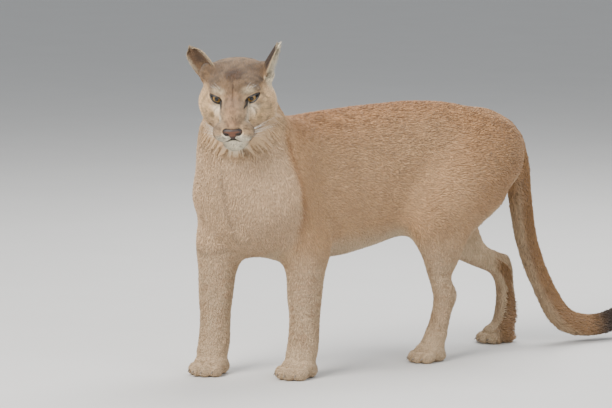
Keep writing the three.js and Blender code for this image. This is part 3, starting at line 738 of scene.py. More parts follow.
def bodyColour(points, normals):
    x, y, z = points.T
    across, station = alongSpine(points)
    colour = np.tile(tones["flank"], (len(points), 1))
    up = normals[:, 2]
    colour = toned(colour, "back", smoothStep(0.25, 0.95, up) * smoothStep(0.42, 0.6, z) * 0.8)
    onSpine = bell(across, 0.03) * smoothStep(0.8, 0.98, up) * smoothStep(0.5, 0.62, z)
    colour = toned(colour, "spine", onSpine * 0.7)
    colour = toned(colour, "haunch", smoothStep(0.02, 0.2, y) * smoothStep(0.2, 0.4, z) * 0.65)
    leaning = station + 0.10 * (z - 0.4)  # the edge of the grey front leans with the shoulder
    front = fade(-0.345, -0.315, leaning + 0.02 * (valueNoise(points, 0.03, 5) - 0.5))
    colour = toned(colour, "chest", front * smoothStep(0.2, 0.32, z) * 0.9)
    colour = toned(colour, "neck", front * smoothStep(0.54, 0.64, z) * 0.8)
    # a dark line of painted shade runs along the rear edge of the shoulder, where the grey front ends
    edge = bell(leaning + 0.322, 0.010) * smoothStep(0.33, 0.42, z) * fade(0.58, 0.64, z)
    colour = toned(colour, "spine", edge * 0.5)
    underside = smoothStep(0.35, 0.95, -up) * smoothStep(0.24, 0.29, z)
    colour = toned(colour, "belly", underside * (1 - front) * 0.9)
    # painted shade darkens the crease down the middle of the chest
    chestCreaseShade = bell(across - 0.004, 0.006) * (station < -0.36)
    chestCreaseShade = chestCreaseShade * smoothStep(0.30, 0.36, z) * fade(0.50, 0.56, z)
    colour = toned(colour, "dark", chestCreaseShade * 0.28)
    # painted shade darkens the folds where the forelegs meet the chest, on the faces turned forward
    legFoldShade = bell(z - 0.303 - 0.25 * np.abs(np.abs(across) - 0.10), 0.009)
    legFoldShade = legFoldShade * (station < -0.33) * (station > -0.50) * smoothStep(0.03, 0.06, np.abs(across))
    colour = toned(colour, "dark", legFoldShade * 0.45 * smoothStep(0.2, 0.7, -normals[:, 1]))
    low = fade(0.24, 0.36, z)
    colour = toned(colour, "leg", low)
    bands = valueNoise(points * np.array([0.2, 0.2, 1]), 0.0042, 9)
    colour = toned(colour, "spine", low * smoothStep(0.5, 0.85, bands) * smoothStep(0.05, 0.1, z) * 0.3)
    flecks = valueNoise(points * np.array([1.0, 0.5, 1.3]), 0.0046, 61)
    upper = smoothStep(0.46, 0.6, z) * (1 - front) * (0.35 + 0.65 * smoothStep(0.1, 0.8, up))
    colour = toned(colour, "crown", smoothStep(0.5, 0.85, flecks) * upper * 0.55)
    inside = np.where(x > -0.035, -normals[:, 0], normals[:, 0])
    colour = toned(colour, "legInside", low * smoothStep(0.3, 0.9, inside) * 0.8)
    colour = toned(colour, "legInside", fade(0.0, 0.12, z) * 0.3)
    onTail = smoothStep(0.30, 0.33, y) * (np.abs(x + 0.02) < 0.075) * fade(0.50, 0.56, z)
    colour = layered(colour, [
        ("tail", onTail),
        ("belly", onTail * smoothStep(0.2, 0.9, -normals[:, 1] - 0.4 * up) * 0.35),
        ("dark", smoothStep(0.52, 0.6, y) * onTail),
        ("spine", valueNoise(points, 0.02, 3) * valueNoise(points, 0.06, 4) * 0.25),
    ])
    return colour


def headColour(points):
    q = toHead(points)
    a, f, u = q.T
    side = np.abs(a)
    colour = np.tile(tones["jaw"], (len(q), 1))

    def spot(name, centre, radii, share=1.0, edge=0.55, oneSided=False):
        nonlocal colour
        place = np.stack([a if oneSided else side, f, u], 1)
        d = np.sqrt((((place - np.array(centre)) / np.array(radii)) ** 2).sum(1))
        colour = toned(colour, name, fade(1 - edge, 1 + edge, d) * share)

    colour = toned(colour, "forehead", smoothStep(2, 26, u) * smoothStep(-150, -60, f))
    colour = toned(colour, "neck", fade(-130, -90, f))
    spot("throat", (0, 16, -128), (52, 62, 32))
    spot("crown", (3, -27, 52), (19, 20, 16), 1.0)
    spot("crown", (46, -60, 50), (22, 30, 14), 0.35)
    spot("bridge", (0, 30, -6), (19, 46, 30), 0.95)
    spot("cheek", (66, -36, -34), (26, 36, 36), 0.9)
    spot("underEye", (38, 4, -26), (21, 28, 15), 0.95)
    spot("underEye", (31, 22, -38), (14, 24, 14), 0.85)
    spot("cheek", (50, 0, -48), (24, 28, 20), 0.8)
    spot("forehead", (17, 16, -6), (6, 26, 13), 0.6)
    spot("fringe", (86, -58, 22), (15, 22, 28), 0.85, 0.4, oneSided=True)
    spot("crown", (-84, -66, 10), (9, 14, 9), 0.6, 0.5, oneSided=True)
    spot("brow", (34, -4, 20), (17, 16, 7), 0.85, 0.8)
    spot("padSide", (50, 46, -60), (8, 16, 14), 0.75, 0.5)
    spot("padSide", (29, 64, -43), (8, 12, 5), 0.45, 0.6)
    spot("pad", (17, 68, -70), (25, 24, 17), 1.0, 0.35)
    spot("pad", (9, 78, -62), (14, 12, 13), 1.0, 0.4)
    spot("chin", (0, 54, -98), (31, 34, 19), 1.0, 0.35)
    spot("bridge", (0, 66, -30), (17, 18, 11), 1.0, 0.4)
    parting = bell(a, 1.9) * smoothStep(6, 14, u) * fade(36, 44, u)
    colour = toned(colour, "crown", parting * (f > -60) * 0.9)
    frown = bell(side - 17, 5) * smoothStep(0, 12, u) * fade(14, 26, u)
    colour = toned(colour, "crown", frown * (f > -20) * 0.35)
    streak = valueNoise(q * np.array([1, 0.35, 1]), 3.2, 51)
    streak = streak * smoothStep(-10, 20, u) * smoothStep(-130, -60, f)
    colour = layered(colour, [
        ("dark", smoothStep(0.55, 0.9, streak) * 0.42),
        ("rim", bell(np.maximum(distanceToPath(q, mouthPath) - 3.0, 0), 2.0)),
        ("rim", bell(np.maximum(distanceToPath(q, cleftPath) - 2.6, 0), 1.6)),
    ])
    for tear in tearPaths:
        colour = toned(colour, "rim", bell(distanceToPath(q, tear), 4.0) * 0.95)
    colour = toned(colour, "rim", smoothStep(-1.6, 0.4, -noseField(q)) * (f > 60))
    for s in (+1, -1):
        local = toEye(q, s)[0]
        near = (local[:, 1] > -2) & (np.abs(local[:, 0]) < 32)
        colour = toned(colour, "rim", smoothStep(-0.75, -0.35, insideAlmond(local[:, 0], local[:, 2])) * near)
    # rows of small dark spots where the whiskers grow
    for row in range(4):
        rowUp = -58 - 5.2 * row
        dots = bell(np.abs(u - rowUp + 0.1 * (side - 20)), 1.0) * (side > 14) * (side < 40) * (f > 48)
        colour = toned(colour, "padSide", dots * (np.sin(side * 1.15 + row) > 0.35) * 0.55)
    return colour


def coatColour(points, normals):
    share = smoothStep(0.1, 0.75, headWeight(points))[:, None]
    return bodyColour(points, normals) * (1 - share) + headColour(points) * share


def setColour(piece, colours):
    layer = piece.data.color_attributes.new(name="coatColour", type="FLOAT_COLOR", domain="POINT")
    opaque = np.hstack([colours, np.ones((len(colours), 1))])
    layer.data.foreach_set("color", opaque.astype(np.float32).ravel())


# The back is dark and the rim pale; the hollow is brown and deepest at its root, and the middle of the cup is
# darkened as painted shade
def earColour(side):
    n = earSettings["cells"] + 1
    u, v = np.meshgrid(np.linspace(-1, 1, n), np.linspace(0, 1, n))
    u, v = u.ravel(), v.ravel()
    back = np.tile(tones["earBack"], (n * n, 1))
    back = toned(back, "forehead", fade(0.12, 0.4, v))
    back = toned(back, "earEdge", smoothStep(0.78, 0.98, np.abs(u)) * 0.8 + smoothStep(0.85, 0.97, v) * 0.6)
    inside = np.tile(tones["earIn"], (n * n, 1))
    # painted shade in the middle of the cup
    inside = toned(inside, "dark", bell(u, 0.6) * bell(v - 0.42, 0.3) * 0.85)
    inside = toned(inside, "forehead", smoothStep(0.3, 0.8, -side * u) * 0.8)
    rim = smoothStep(0.8, 0.98, np.abs(u)) * 0.8
    inside = toned(inside, "earEdge", rim + smoothStep(0.86, 0.97, v) * 0.7)
    inside = toned(inside, "forehead", fade(0.26, 0.42, v))
    return np.vstack([back, inside])


# A node output that works in shader maths; each operation adds a Math node
class Socket:
    def __init__(self, nodes, output):
        self.nodes, self.output = nodes, output

    def maths(self, operation, *values):
        return self.nodes.add("ShaderNodeMath", {"operation": operation}, *values)

    def __radd__(self, other):
        return self.maths("ADD", other, self)

    def __rsub__(self, other):
        return self.maths("SUBTRACT", other, self)

    def __mul__(self, other):
        return self.maths("MULTIPLY", self, other)

    def __rmul__(self, other):
        return self.maths("MULTIPLY", other, self)

    def __truediv__(self, other):
        return self.maths("DIVIDE", self, other)


# A material being built, with its Principled shader
class Finish:
    def __init__(self, name, roughness=0.5, **fixed):
        self.material = bpy.data.materials.new(name)
        self.material.use_nodes = True
        self.tree = self.material.node_tree
        self.shader = self.tree.nodes["Principled BSDF"]
        self.shader.inputs["Roughness"].default_value = roughness
        for socket, value in fixed.items():
            self.shader.inputs[socket.replace("_", " ")].default_value = value

    # Any node: its settings, then its inputs in order, by their number in at, or by their name
    def add(self, kind, settings, *values, at=None, output=0, **named):
        node = self.tree.nodes.new(kind)
        for name, value in settings.items():
            if name == "stops":
                self.setStops(node.color_ramp.elements, value)
            else:
                setattr(node, name, value)
        byName = [(name.replace("_", " "), value) for name, value in named.items()]
        for slot, value in [*enumerate(values), *(at or {}).items(), *byName]:
            self.feed(node.inputs[slot], value)
        return Socket(self, node.outputs[output])

    def setStops(self, elements, stops):
        while len(elements) < len(stops):
            elements.new(0.5)
        for element, (place, colour) in zip(elements, stops):
            element.position = place
            element.color = (*colour, 1)

    def feed(self, target, value):
        if isinstance(value, Socket):
            self.tree.links.new(value.output, target)
        else:
            target.default_value = value

    def set(self, **sockets):
        for name, value in sockets.items():
            self.feed(self.shader.inputs[name.replace("_", " ")], value)
        return self.material

    def place(self):
        return self.add("ShaderNodeTexCoord", {}, output=3)

    def noise(self, vector, scale, detail=3.0, roughness=0.6):
        return self.add("ShaderNodeTexNoise", {}, vector, Scale=scale, Detail=detail, Roughness=roughness)

    def scaled(self, vector, scale):
        return self.add("ShaderNodeMapping", {"vector_type": "POINT"}, vector, Scale=scale)

    def mixed(self, share, a, b, blend="MIX"):
        settings = {"data_type": "RGBA", "blend_type": blend}
        return self.add("ShaderNodeMix", settings, share, at={6: a, 7: b}, output=2)

    def between(self, value, low, high, most):
        return self.add("ShaderNodeMapRange", {}, value, low, high, 0.0, most)

    def attribute(self, name):
        return self.add("ShaderNodeAttribute", {"attribute_name": name})

    def bump(self, height, strength, distance):
        return self.add("ShaderNodeBump", {}, Height=height, Strength=strength, Distance=distance)


def coatFinish(name, bumpStrength):
    f = Finish(name, roughness=0.82, Sheen_Weight=0.12, Sheen_Roughness=0.5, Specular_IOR_Level=0.25)
    place = f.place()
    hair = f.noise(f.scaled(place, (1.0, 0.3, 0.45)), 620.0, 3.0)
    patches = f.noise(place, 38.0, 3.0)
    tone = f.attribute("coatColour")
    darker = f.mixed(0.6, tone, (0.16, 0.10, 0.065, 1), "MULTIPLY")
    flecked = f.mixed(f.between(hair, 0.52, 0.74, 0.55), tone, darker)
    colour = f.mixed(f.between(patches, 0.35, 0.75, 0.16), flecked, darker)
    rough = 0.74 + 0.18 * hair
    return f.set(Base_Color=colour, Roughness=rough, Normal=f.bump(hair, bumpStrength, 0.0012))


def rimFinish():
    f = Finish("lidRim", roughness=0.32, Coat_Roughness=0.1)
    grain = f.noise(f.place(), 900.0)
    colour = f.mixed(grain, (0.006, 0.005, 0.0045, 1), (0.022, 0.017, 0.014, 1))
    return f.set(
        Base_Color=colour, Roughness=0.25 + 0.25 * grain, Coat_Weight=0.35,
        Normal=f.bump(grain, 0.25, 0.0004),
    )


def noseFinish():
    f = Finish("noseLeather", roughness=0.4)
    place = f.place()
    pebbles = f.add("ShaderNodeTexVoronoi", {"feature": "F1"}, place, Scale=1100.0)
    blotch = f.noise(place, 160.0)
    tone = f.attribute("coatColour")
    colour = f.mixed(blotch * 0.55, tone, (0.035, 0.016, 0.012, 1))
    return f.set(
        Base_Color=colour, Roughness=0.42 + 0.3 * pebbles, Coat_Weight=0.1,
        Normal=f.bump(1.0 - pebbles, 0.35, 0.0006),
    )


def eyeFinish():
    f = Finish("eye", roughness=0.22, Coat_Roughness=0.04, IOR=1.35)
    uv = f.add("ShaderNodeUVMap", {"uv_map": "eyeMap"})
    radius = f.add("ShaderNodeVectorMath", {"operation": "LENGTH"}, uv, output=1)
    spokes = f.noise(f.add("ShaderNodeVectorMath", {"operation": "NORMALIZE"}, uv), 9.0, 5.0, 0.7)
    rings = f.noise(uv, 0.6, 4.0)
    iris = f.add("ShaderNodeValToRGB", {"stops": [
        (0.0, (0.004, 0.003, 0.002)), (0.37, (0.003, 0.002, 0.002)),
        (0.42, (0.16, 0.08, 0.018)), (0.58, (0.34, 0.20, 0.055)),
        (0.80, (0.26, 0.14, 0.035)), (0.90, (0.07, 0.035, 0.012)),
        (0.96, (0.012, 0.008, 0.006)), (1.0, (0.010, 0.007, 0.006)),
    ]}, radius / 12.0)
    colour = f.mixed((spokes * rings) * 0.9, iris, (0.05, 0.025, 0.008, 1), "MULTIPLY")
    return f.set(Base_Color=colour, Coat_Weight=0.35, Normal=f.bump(spokes, 0.05, 0.0003))


def whiskerFinish():
    f = Finish("whisker", roughness=0.35, Specular_IOR_Level=0.5)
    grain = f.noise(f.place(), 300.0)
    colour = f.mixed(grain, (0.86, 0.83, 0.76, 1), (0.66, 0.60, 0.52, 1))
    return f.set(Base_Color=colour, Roughness=0.3 + 0.2 * grain)


def floorFinish():
    f = Finish("floorPale", roughness=0.8)
    grain = f.noise(f.place(), 3.0)
    return f.set(Base_Color=f.mixed(grain, (0.60, 0.59, 0.57, 1), (0.64, 0.63, 0.61, 1)))


coatOnSkin = coatFinish("coatOnSkin", 0.5)
coatOfTufts = coatFinish("coatOfTufts", 0.15)


def dress(piece, finish, slot, *nodes):
    piece.data.materials.clear()
    piece.data.materials.append(finish)
    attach(piece, "root")
    if nodes:
        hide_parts(*nodes)


# The skin takes the ears in, its colours and an unwrap of its own shape
for side, ear in ears.items():
    setColour(ear, earColour(side))
points = verticesOf(skin)
# the skin is darkened as painted shade under the coat, to match the shaded roots of the tufts, least on the
# front of the face
paintedShadeUnderCoat = 0.76 + 0.2 * smoothStep(-30, 0, toHead(points)[:, 1]) * headWeight(points)
setColour(skin, coatColour(points, normalsOf(skin)) * paintedShadeUnderCoat[:, None])
fineSkinCount = len(skin.data.vertices)
joinInto(skin, ears.values())
editAll(skin, bpy.ops.uv.smart_project, angle_limit=math.radians(66), island_margin=0.002)
skin.data.uv_layers[0].name = "OFBake"
for group in list(skin.vertex_groups):
    skin.vertex_groups.remove(group)
dress(skin, coatOnSkin, "coat", *fleshNodes, "ear_left", "ear_right")
print("skin coloured and unwrapped")


# Eyes, each a ball with a slight bulge at the cornea, and a dark rim round the opening
eyeSettings = {"radius": 16.9, "cornea": 1.2, "irisRise": 1.6, "rings": 60, "spokes": 72}


def addEye(side):
    s = eyeSettings
    t = np.linspace(0, 1, s["rings"] + 1)[1:-1] ** 1.35 * np.pi
    a = np.linspace(0, 2 * np.pi, s["spokes"], endpoint=False)
    polar, round_ = np.meshgrid(t, a, indexing="ij")
    reach = s["radius"] + s["cornea"] * fade(0.0, 0.75, polar)
    local = np.stack([
        reach * np.sin(polar) * np.cos(round_), reach * np.cos(polar), reach * np.sin(polar) * np.sin(round_),
    ], axis=-1).reshape(-1, 3)
    local = np.vstack([local, [0, s["radius"] + s["cornea"], 0], [0, -s["radius"], 0]])
    points = eyeCentres[side] + mm * local @ np.stack(gazeAxes(side))
    m = s["spokes"]
    rows = len(t)
    i, j = np.meshgrid(np.arange(rows - 1), np.arange(m), indexing="ij")
    a0, b0 = (i * m + j).ravel(), (i * m + (j + 1) % m).ravel()
    quads = np.stack([a0, b0, b0 + m, a0 + m], axis=1)
    k = np.arange(m)
    front = np.stack([np.full(m, rows * m), (k + 1) % m, k], axis=1)
    rear = np.stack([np.full(m, rows * m + 1), (rows - 1) * m + k, (rows - 1) * m + (k + 1) % m], axis=1)
    eye = meshFrom(f"eye{sideNames[side]}", points, [quads, front, rear])
    faceOutward(eye)
    spread = local[:, [0, 2]].copy()
    spread[:, 1] -= s["irisRise"]
    spread[local[:, 1] < 0] *= 3.0
    setUvs(eye, "eyeMap", spread)
    dress(eye, eyeMaterial, "eye", f"eye_{sideNames[side].lower()}")


# Corners and faces of a tube along a path; an open one is capped by its tapered ends
def tubeAlong(path, radii, sides=8, closed=False):
    path = np.asarray(path)
    ahead = np.roll(path, -1, axis=0) - np.roll(path, 1, axis=0)
    if not closed:
        ahead[0], ahead[-1] = path[1] - path[0], path[-1] - path[-2]
    ahead = unit(ahead)
    helper = np.where(np.abs(ahead[:, 2:3]) < 0.9, [[0, 0, 1]], [[1, 0, 0]])
    beside = unit(np.cross(ahead, helper))
    over = np.cross(beside, ahead)
    a = np.linspace(0, 2 * np.pi, sides, endpoint=False)
    ring = np.cos(a)[None, :, None] * beside[:, None] + np.sin(a)[None, :, None] * over[:, None]
    points = (path[:, None] + ring * np.asarray(radii)[:, None, None]).reshape(-1, 3)
    n = len(path)
    i, j = np.meshgrid(np.arange(n if closed else n - 1), np.arange(sides), indexing="ij")
    k = (i + 1) % n
    after = (j + 1) % sides
    quads = np.stack([i * sides + j, i * sides + after, k * sides + after, k * sides + j], -1).reshape(-1, 4)
    if closed:
        return points, quads, np.zeros((0, 3), int)
    points = np.vstack([points, path[:1], path[-1:]])
    j = np.arange(sides)
    caps = np.vstack([
        np.stack([np.full(sides, n * sides), (j + 1) % sides, j], 1),
        np.stack([np.full(sides, n * sides + 1), (n - 1) * sides + j, (n - 1) * sides + (j + 1) % sides], 1),
    ])
    return points, quads, caps


# One mesh of open tubes, each given as its path and radii
def tubeBundle(name, tubes, sides):
    points, quads, caps, offset = [], [], [], 0
    for path, radii in tubes:
        ring, round_, ends = tubeAlong(path, radii, sides)
        points.append(ring)
        quads.append(round_ + offset)
        caps.append(ends + offset)
        offset += len(ring)
    bundle = meshFrom(name, np.vstack(points), [np.vstack(quads), np.vstack(caps)])
    faceOutward(bundle)
    return bundle


def addLidRim(side):
    steps = lidSettings["rimSteps"]
    outward, up = almond(steps)
    reach = eyeSettings["radius"] + 1.6
    ahead = np.sqrt(np.maximum(reach**2 - outward**2 - up**2, 1.0))
    local = np.stack([outward, ahead, up], axis=1)
    path = eyeCentres[side] + mm * local @ np.stack(gazeAxes(side))
    points, quads, _ = tubeAlong(path, np.full(steps, lidSettings["rim"] * mm), 8, closed=True)
    rim = meshFrom(f"lidRim{sideNames[side]}", points, quads)
    faceOutward(rim)
    dress(rim, rimMaterial, "nose_leather")


eyeMaterial, rimMaterial = eyeFinish(), rimFinish()
for side in (+1, -1):
    addEye(side)
    addLidRim(side)


# The nose leather: a ball drawn onto the nose's masses, with its nostrils pressed in
def addNose():
    bpy.ops.mesh.primitive_ico_sphere_add(subdivisions=6, radius=1.0, location=(0, 0, 0))
    nose = bpy.context.object
    nose.name = "noseLeather"
    centre = np.array([0, 71, -50.0])
    directions = unit(verticesOf(nose))
    field = hollow(2.2, noseField, *nostrils)
    low, high = np.zeros(len(directions)), np.full(len(directions), 40.0)
    for _ in range(22):
        middle = (low + high) / 2
        inside = noseField(centre + directions * middle[:, None]) < 0
        low, high = np.where(inside, middle, low), np.where(inside, high, middle)
    q = centre + directions * low[:, None]
    q = drawnOnto(q, field, 0.0, 5)
    nearNostril = np.minimum(nostrils[0](q), nostrils[1](q))
    colour = np.tile(linear((108, 64, 38)), (len(q), 1))
    colour = toned(colour, "rim", fade(0.3, 3.2, nearNostril))
    colour = toned(colour, "rim", smoothStep(-54, -60, q[:, 2]) * 0.9)
    border = smoothStep(12, 22, np.abs(q[:, 0])) * 0.75 + smoothStep(-46, -42, q[:, 2]) * 0.9
    colour = toned(colour, "rim", border)
    setVertices(nose, fromHead(q))
    setColour(nose, colour)
    shadeSmooth(nose)
    dress(nose, noseFinish(), "nose_leather", "nose")


addNose()
print("eyes and nose made")


# Claws, drawn in: only the short curved tips show in front of the toes
clawSettings = {"length": 11, "radius": 2.6, "height": 15, "rise": 3}


def addClaws():
    c = clawSettings
    tubes = []
    t = np.linspace(0, 1, 7)[:, None]
    radii = c["radius"] * (1 - 0.85 * t[:, 0] ** 1.6)
    for paw in pawSettings.values():
        axes, origin = pawAxes(paw)
        for across, ahead, _ in toePlaces:
            outward = across * 0.004
            along = np.array([math.sin(outward), math.cos(outward), 0])
            root = np.array([across, ahead, c["height"]]) + along * 18
            curve = root + along * c["length"] * t + np.array([0, 0, 1]) * (c["rise"] * t - 9 * t**2)
            tubes.append((origin + mm * (curve * paw["size"]) @ axes, radii * mm))
    claws = tubeBundle("claws", tubes, 8)
    f = Finish("claw", roughness=0.35)
    grain = f.noise(f.scaled(f.place(), (1, 1, 4)), 260.0)
    colour = f.mixed(grain, (0.10, 0.075, 0.055, 1), (0.26, 0.21, 0.16, 1))
    dress(claws, f.set(Base_Color=colour, Roughness=0.3 + 0.25 * grain, Coat_Weight=0.2), "claw")


addClaws()


# Whiskers: tapered bristles that sweep out and back from the pads, and a few above the eyes
whiskerSettings = {
    "rows": 3, "perRow": 4, "length": (48, 80), "radius": 0.42, "taper": 0.85, "brows": 3, "browLength": 30,
}


def addWhiskers():
    w = whiskerSettings
    tubes = []
    t = np.linspace(0, 1, 9)[:, None]

    def grow(root, heading, length, droop):
        along = np.array(heading) / np.linalg.norm(heading) * length * t
        path = fromHead(np.array(root) + along + np.array(droop) * t**2)
        tubes.append((path, w["radius"] * mm * (1 - w["taper"] * t[:, 0])))

    for side in (+1, -1):
        for row in range(w["rows"]):
            for k in range(w["perRow"]):
                across, ahead = 22 + 4.6 * k + rng.uniform(-1, 1), 74 - 5.5 * k
                up = -57 - 5.4 * row - 0.6 * k + rng.uniform(-0.8, 0.8)
                length = rng.uniform(*w["length"]) * (0.75 + 0.07 * k)
                back = -0.42 - 0.1 * k + rng.uniform(-0.08, 0.08)
                rise = 0.2 - 0.13 * row + rng.uniform(-0.06, 0.06)
                droop = (side * 2, -12, -6 + rng.uniform(-3, 3))
                grow((side * across, ahead - 4, up), (side * 1.0, back, rise), length, droop)
        for k in range(w["brows"]):
            heading = (side * (0.35 + 0.25 * k), 0.35, 1.0)
            grow((side * (30 + 5 * k), -2 - 2 * k, 22), heading, w["browLength"] - 5 * k, (side * 6, -8, -4))
    dress(tubeBundle("whiskers", tubes, 5), whiskerFinish(), "whisker")


addWhiskers()
print("whiskers made")


# The coat: tapered tufts, rooted in the skin and laid along it. The hair lies back from the nose
# on the head, back along the trunk, and down the legs and chest.
def lieAt(points, normals):
    fromNose = unit(points - onHead(0, 78, -30))
    q = toHead(points)
    aboveThroat = smoothStep(-118, -92, q[:, 2] + 0.25 * q[:, 1])
    share = (smoothStep(0.6, 1.0, headWeight(points)) * aboveThroat)[:, None]
    x, y, z = points.T
    body = np.tile(np.array([0.0, 1.0, -0.38]), (len(points), 1))
    front = fade(-0.44, -0.30, y)[:, None]
    body = body * (1 - front) + np.array([-0.22, 0.30, -0.95]) * front
    low = fade(0.26, 0.40, z)[:, None]
    body = body * (1 - low) + np.array([0.0, 0.22, -1.0]) * low
    foot = fade(0.03, 0.07, z)[:, None]
    body = body * (1 - foot) + np.array([0.0, -1.0, -0.45]) * foot
    onTail = (smoothStep(0.30, 0.34, y) * (np.abs(x + 0.02) < 0.08) * (z < 0.57))[:, None]
    down = smoothStep(0.05, 0.2, z)[:, None]
    tail = np.array([0.0, 1.0, -0.1]) * (1 - down) + np.array([0.0, 0.25, -1.0]) * down
    body = body * (1 - onTail) + tail * onTail
    lie = unit(body) * (1 - share) + fromNose * share
    swirl = (valueNoise(points, 0.045, 21) - 0.5)[:, None] * 0.5
    lie = lie + np.cross(normals, lie) * swirl
    lie = lie - normals * (lie * normals).sum(1, keepdims=True)
    return unit(lie)


coatSettings = {
    "trunk": {"perArea": 64000, "length": 15.0, "width": 2.4, "lift": 0.13},
    "legs": {"perArea": 85000, "length": 11.0, "width": 1.9, "lift": 0.13},
    "feet": {"perArea": 115000, "length": 7.0, "width": 1.6, "lift": 0.12},
    "tail": {"perArea": 90000, "length": 17.0, "width": 2.2, "lift": 0.22},
    "neck": {"perArea": 90000, "length": 13.5, "width": 1.9, "lift": 0.13},
    "face": {"perArea": 620000, "length": 6.0, "width": 1.0, "lift": 0.26},
    "cheek": {"perArea": 380000, "length": 9.0, "width": 1.25, "lift": 0.14},
    "maxPerPiece": 19500, "earTufts": 8000, "rootDepth": 0.6, "lowest": 0.3, "patch": 0.0015,
}
regionNames = ["trunk", "legs", "feet", "tail", "neck", "face", "cheek"]
trunk, legs, feet, tail, neck, face, cheek = range(len(regionNames))


# The region of each place, as its index in regionNames
def regionOf(points):
    q = toHead(points)
    share = headWeight(points) + 0.5 * (valueNoise(points, 0.008, 71) - 0.5)
    x, y, z = points.T
    region = np.full(len(points), trunk)
    region[(y < -0.34) & (z > 0.36)] = neck
    region[z < 0.33] = legs
    region[(y > 0.305) & (np.abs(x + 0.02) < 0.075) & (z < 0.57)] = tail
    region[(z < 0.085) & (region == legs)] = feet
    region[share > 0.5] = cheek
    region[(share > 0.5) & ((q[:, 1] > -22) | (q[:, 2] > 20))] = face
    return region


def perRegion(key):
    return np.array([coatSettings[name][key] for name in regionNames])


# Roots on the skin: place, normal, UV and region, as dense as each region's coat
def seedTufts():
    skin.data.calc_loop_triangles()
    corners = readMesh(skin.data.loop_triangles, "vertices", 3, np.int32)
    loops = readMesh(skin.data.loop_triangles, "loops", 3, np.int32)
    ofBody = (corners < fineSkinCount).all(axis=1)
    corners, loops = corners[ofBody], loops[ofBody]
    points, normals, uvs = verticesOf(skin), normalsOf(skin), uvsOf(skin)
    a, b, c = points[corners[:, 0]], points[corners[:, 1]], points[corners[:, 2]]
    area = np.linalg.norm(np.cross(b - a, c - a), axis=1) / 2
    region = regionOf((a + b + c) / 3)
    number = np.floor(area * perRegion("perArea")[region] + rng.random(len(area))).astype(int)
    which = np.repeat(np.arange(len(area)), number)
    r1, r2 = np.sqrt(rng.random(len(which))), rng.random(len(which))
    w = np.stack([1 - r1, r1 * (1 - r2), r1 * r2], axis=1)[:, :, None]
    place = (points[corners[which]] * w).sum(1)
    normal = unit((normals[corners[which]] * w).sum(1))
    uv = (uvs[loops[which]] * w).sum(1)
    return place, normal, uv, region[which]


# No tufts on the nose, in the mouth, over the eyes or under the soles
def keepTuft(place):
    q = toHead(place)
    keep = place[:, 2] > 3 * mm
    keep &= ~((noseField(q) < 1.2) & (q[:, 1] > 58))
    keep &= (distanceToPath(q, mouthPath) > 4.6) & (distanceToPath(q, cleftPath) > 3.6)
    for side in (+1, -1):
        local = toEye(q, side)[0]
        near = (local[:, 1] > -6) & (np.abs(local[:, 0]) < 26) & (np.abs(local[:, 2]) < 22)
        keep &= ~(near & (insideAlmond(local[:, 0], local[:, 2], 1.5) > -0.45))
    return keep


# One mesh of closed tapered tufts, each with a flat three-sided section that curves down to its tip
def growTufts(name, place, normal, uv, lie, length, width, lift, colour, tipShade, short=False):
    n = len(place)
    beside = unit(np.cross(normal, lie))
    bend = rng.normal(0, 0.12, n)[:, None] * beside
    half = (width / 2)[:, None]
    reach = length[:, None]
    rise = (lift * length)[:, None]
    root = place - normal * coatSettings["rootDepth"] * mm
    middle = place + (lie + bend) * reach * 0.52 + normal * rise * 0.85
    tip = place + unit(lie + bend * 2.2) * reach + normal * rise * 0.75
    if short:
        corners = [root - beside * half, root + beside * half, root + normal * half * 0.9, tip]
        faces = [np.array([(0, 2, 1), (0, 1, 3), (1, 2, 3), (2, 0, 3)])]
        # the root corners are darkened as painted shade inside the coat; the tip takes its own tone
        rootShadeAndTipTone = [0.78 * np.ones(n)] * 3 + [tipShade]
        patch = [(-1, -1), (1, -1), (0, -0.6), (0, 1)]
    else:
        corners = [
            root - beside * half, root + beside * half, root + normal * half * 0.8,
            middle - beside * half * 0.8, middle + beside * half * 0.8, middle + normal * half * 0.75,
            tip,
        ]
        faces = [
            np.array([(0, 1, 4, 3), (1, 2, 5, 4), (2, 0, 3, 5)]),
            np.array([(0, 2, 1), (3, 4, 6), (4, 5, 6), (5, 3, 6)]),
        ]
        # the root corners are darkened as painted shade inside the coat, the middle keeps the colour and the
        # tip takes its own tone
        rootShadeAndTipTone = [0.74 * np.ones(n)] * 3 + [np.ones(n)] * 3 + [tipShade]
        patch = [(-1, -1), (1, -1), (0, -0.6), (-0.8, 0), (0.8, 0), (0, 0.3), (0, 1)]
    points = np.stack(corners, axis=1).reshape(-1, 3)
    points[:, 2] = np.maximum(points[:, 2], coatSettings["lowest"] * mm)
    base = (np.arange(n) * len(corners))[:, None, None]
    coat = meshFrom(name, points, [(base + kind[None]).reshape(-1, kind.shape[1]) for kind in faces])
    setColour(coat, (colour[:, None, :] * np.stack(rootShadeAndTipTone, axis=1)[:, :, None]).reshape(-1, 3))
    patch = coatSettings["patch"] * np.array(patch)
    setUvs(coat, "OFBake", (uv[:, None, :] + patch[None]).reshape(-1, 2))
    shadeSmooth(coat)
    dress(coat, coatOfTufts, "coat")


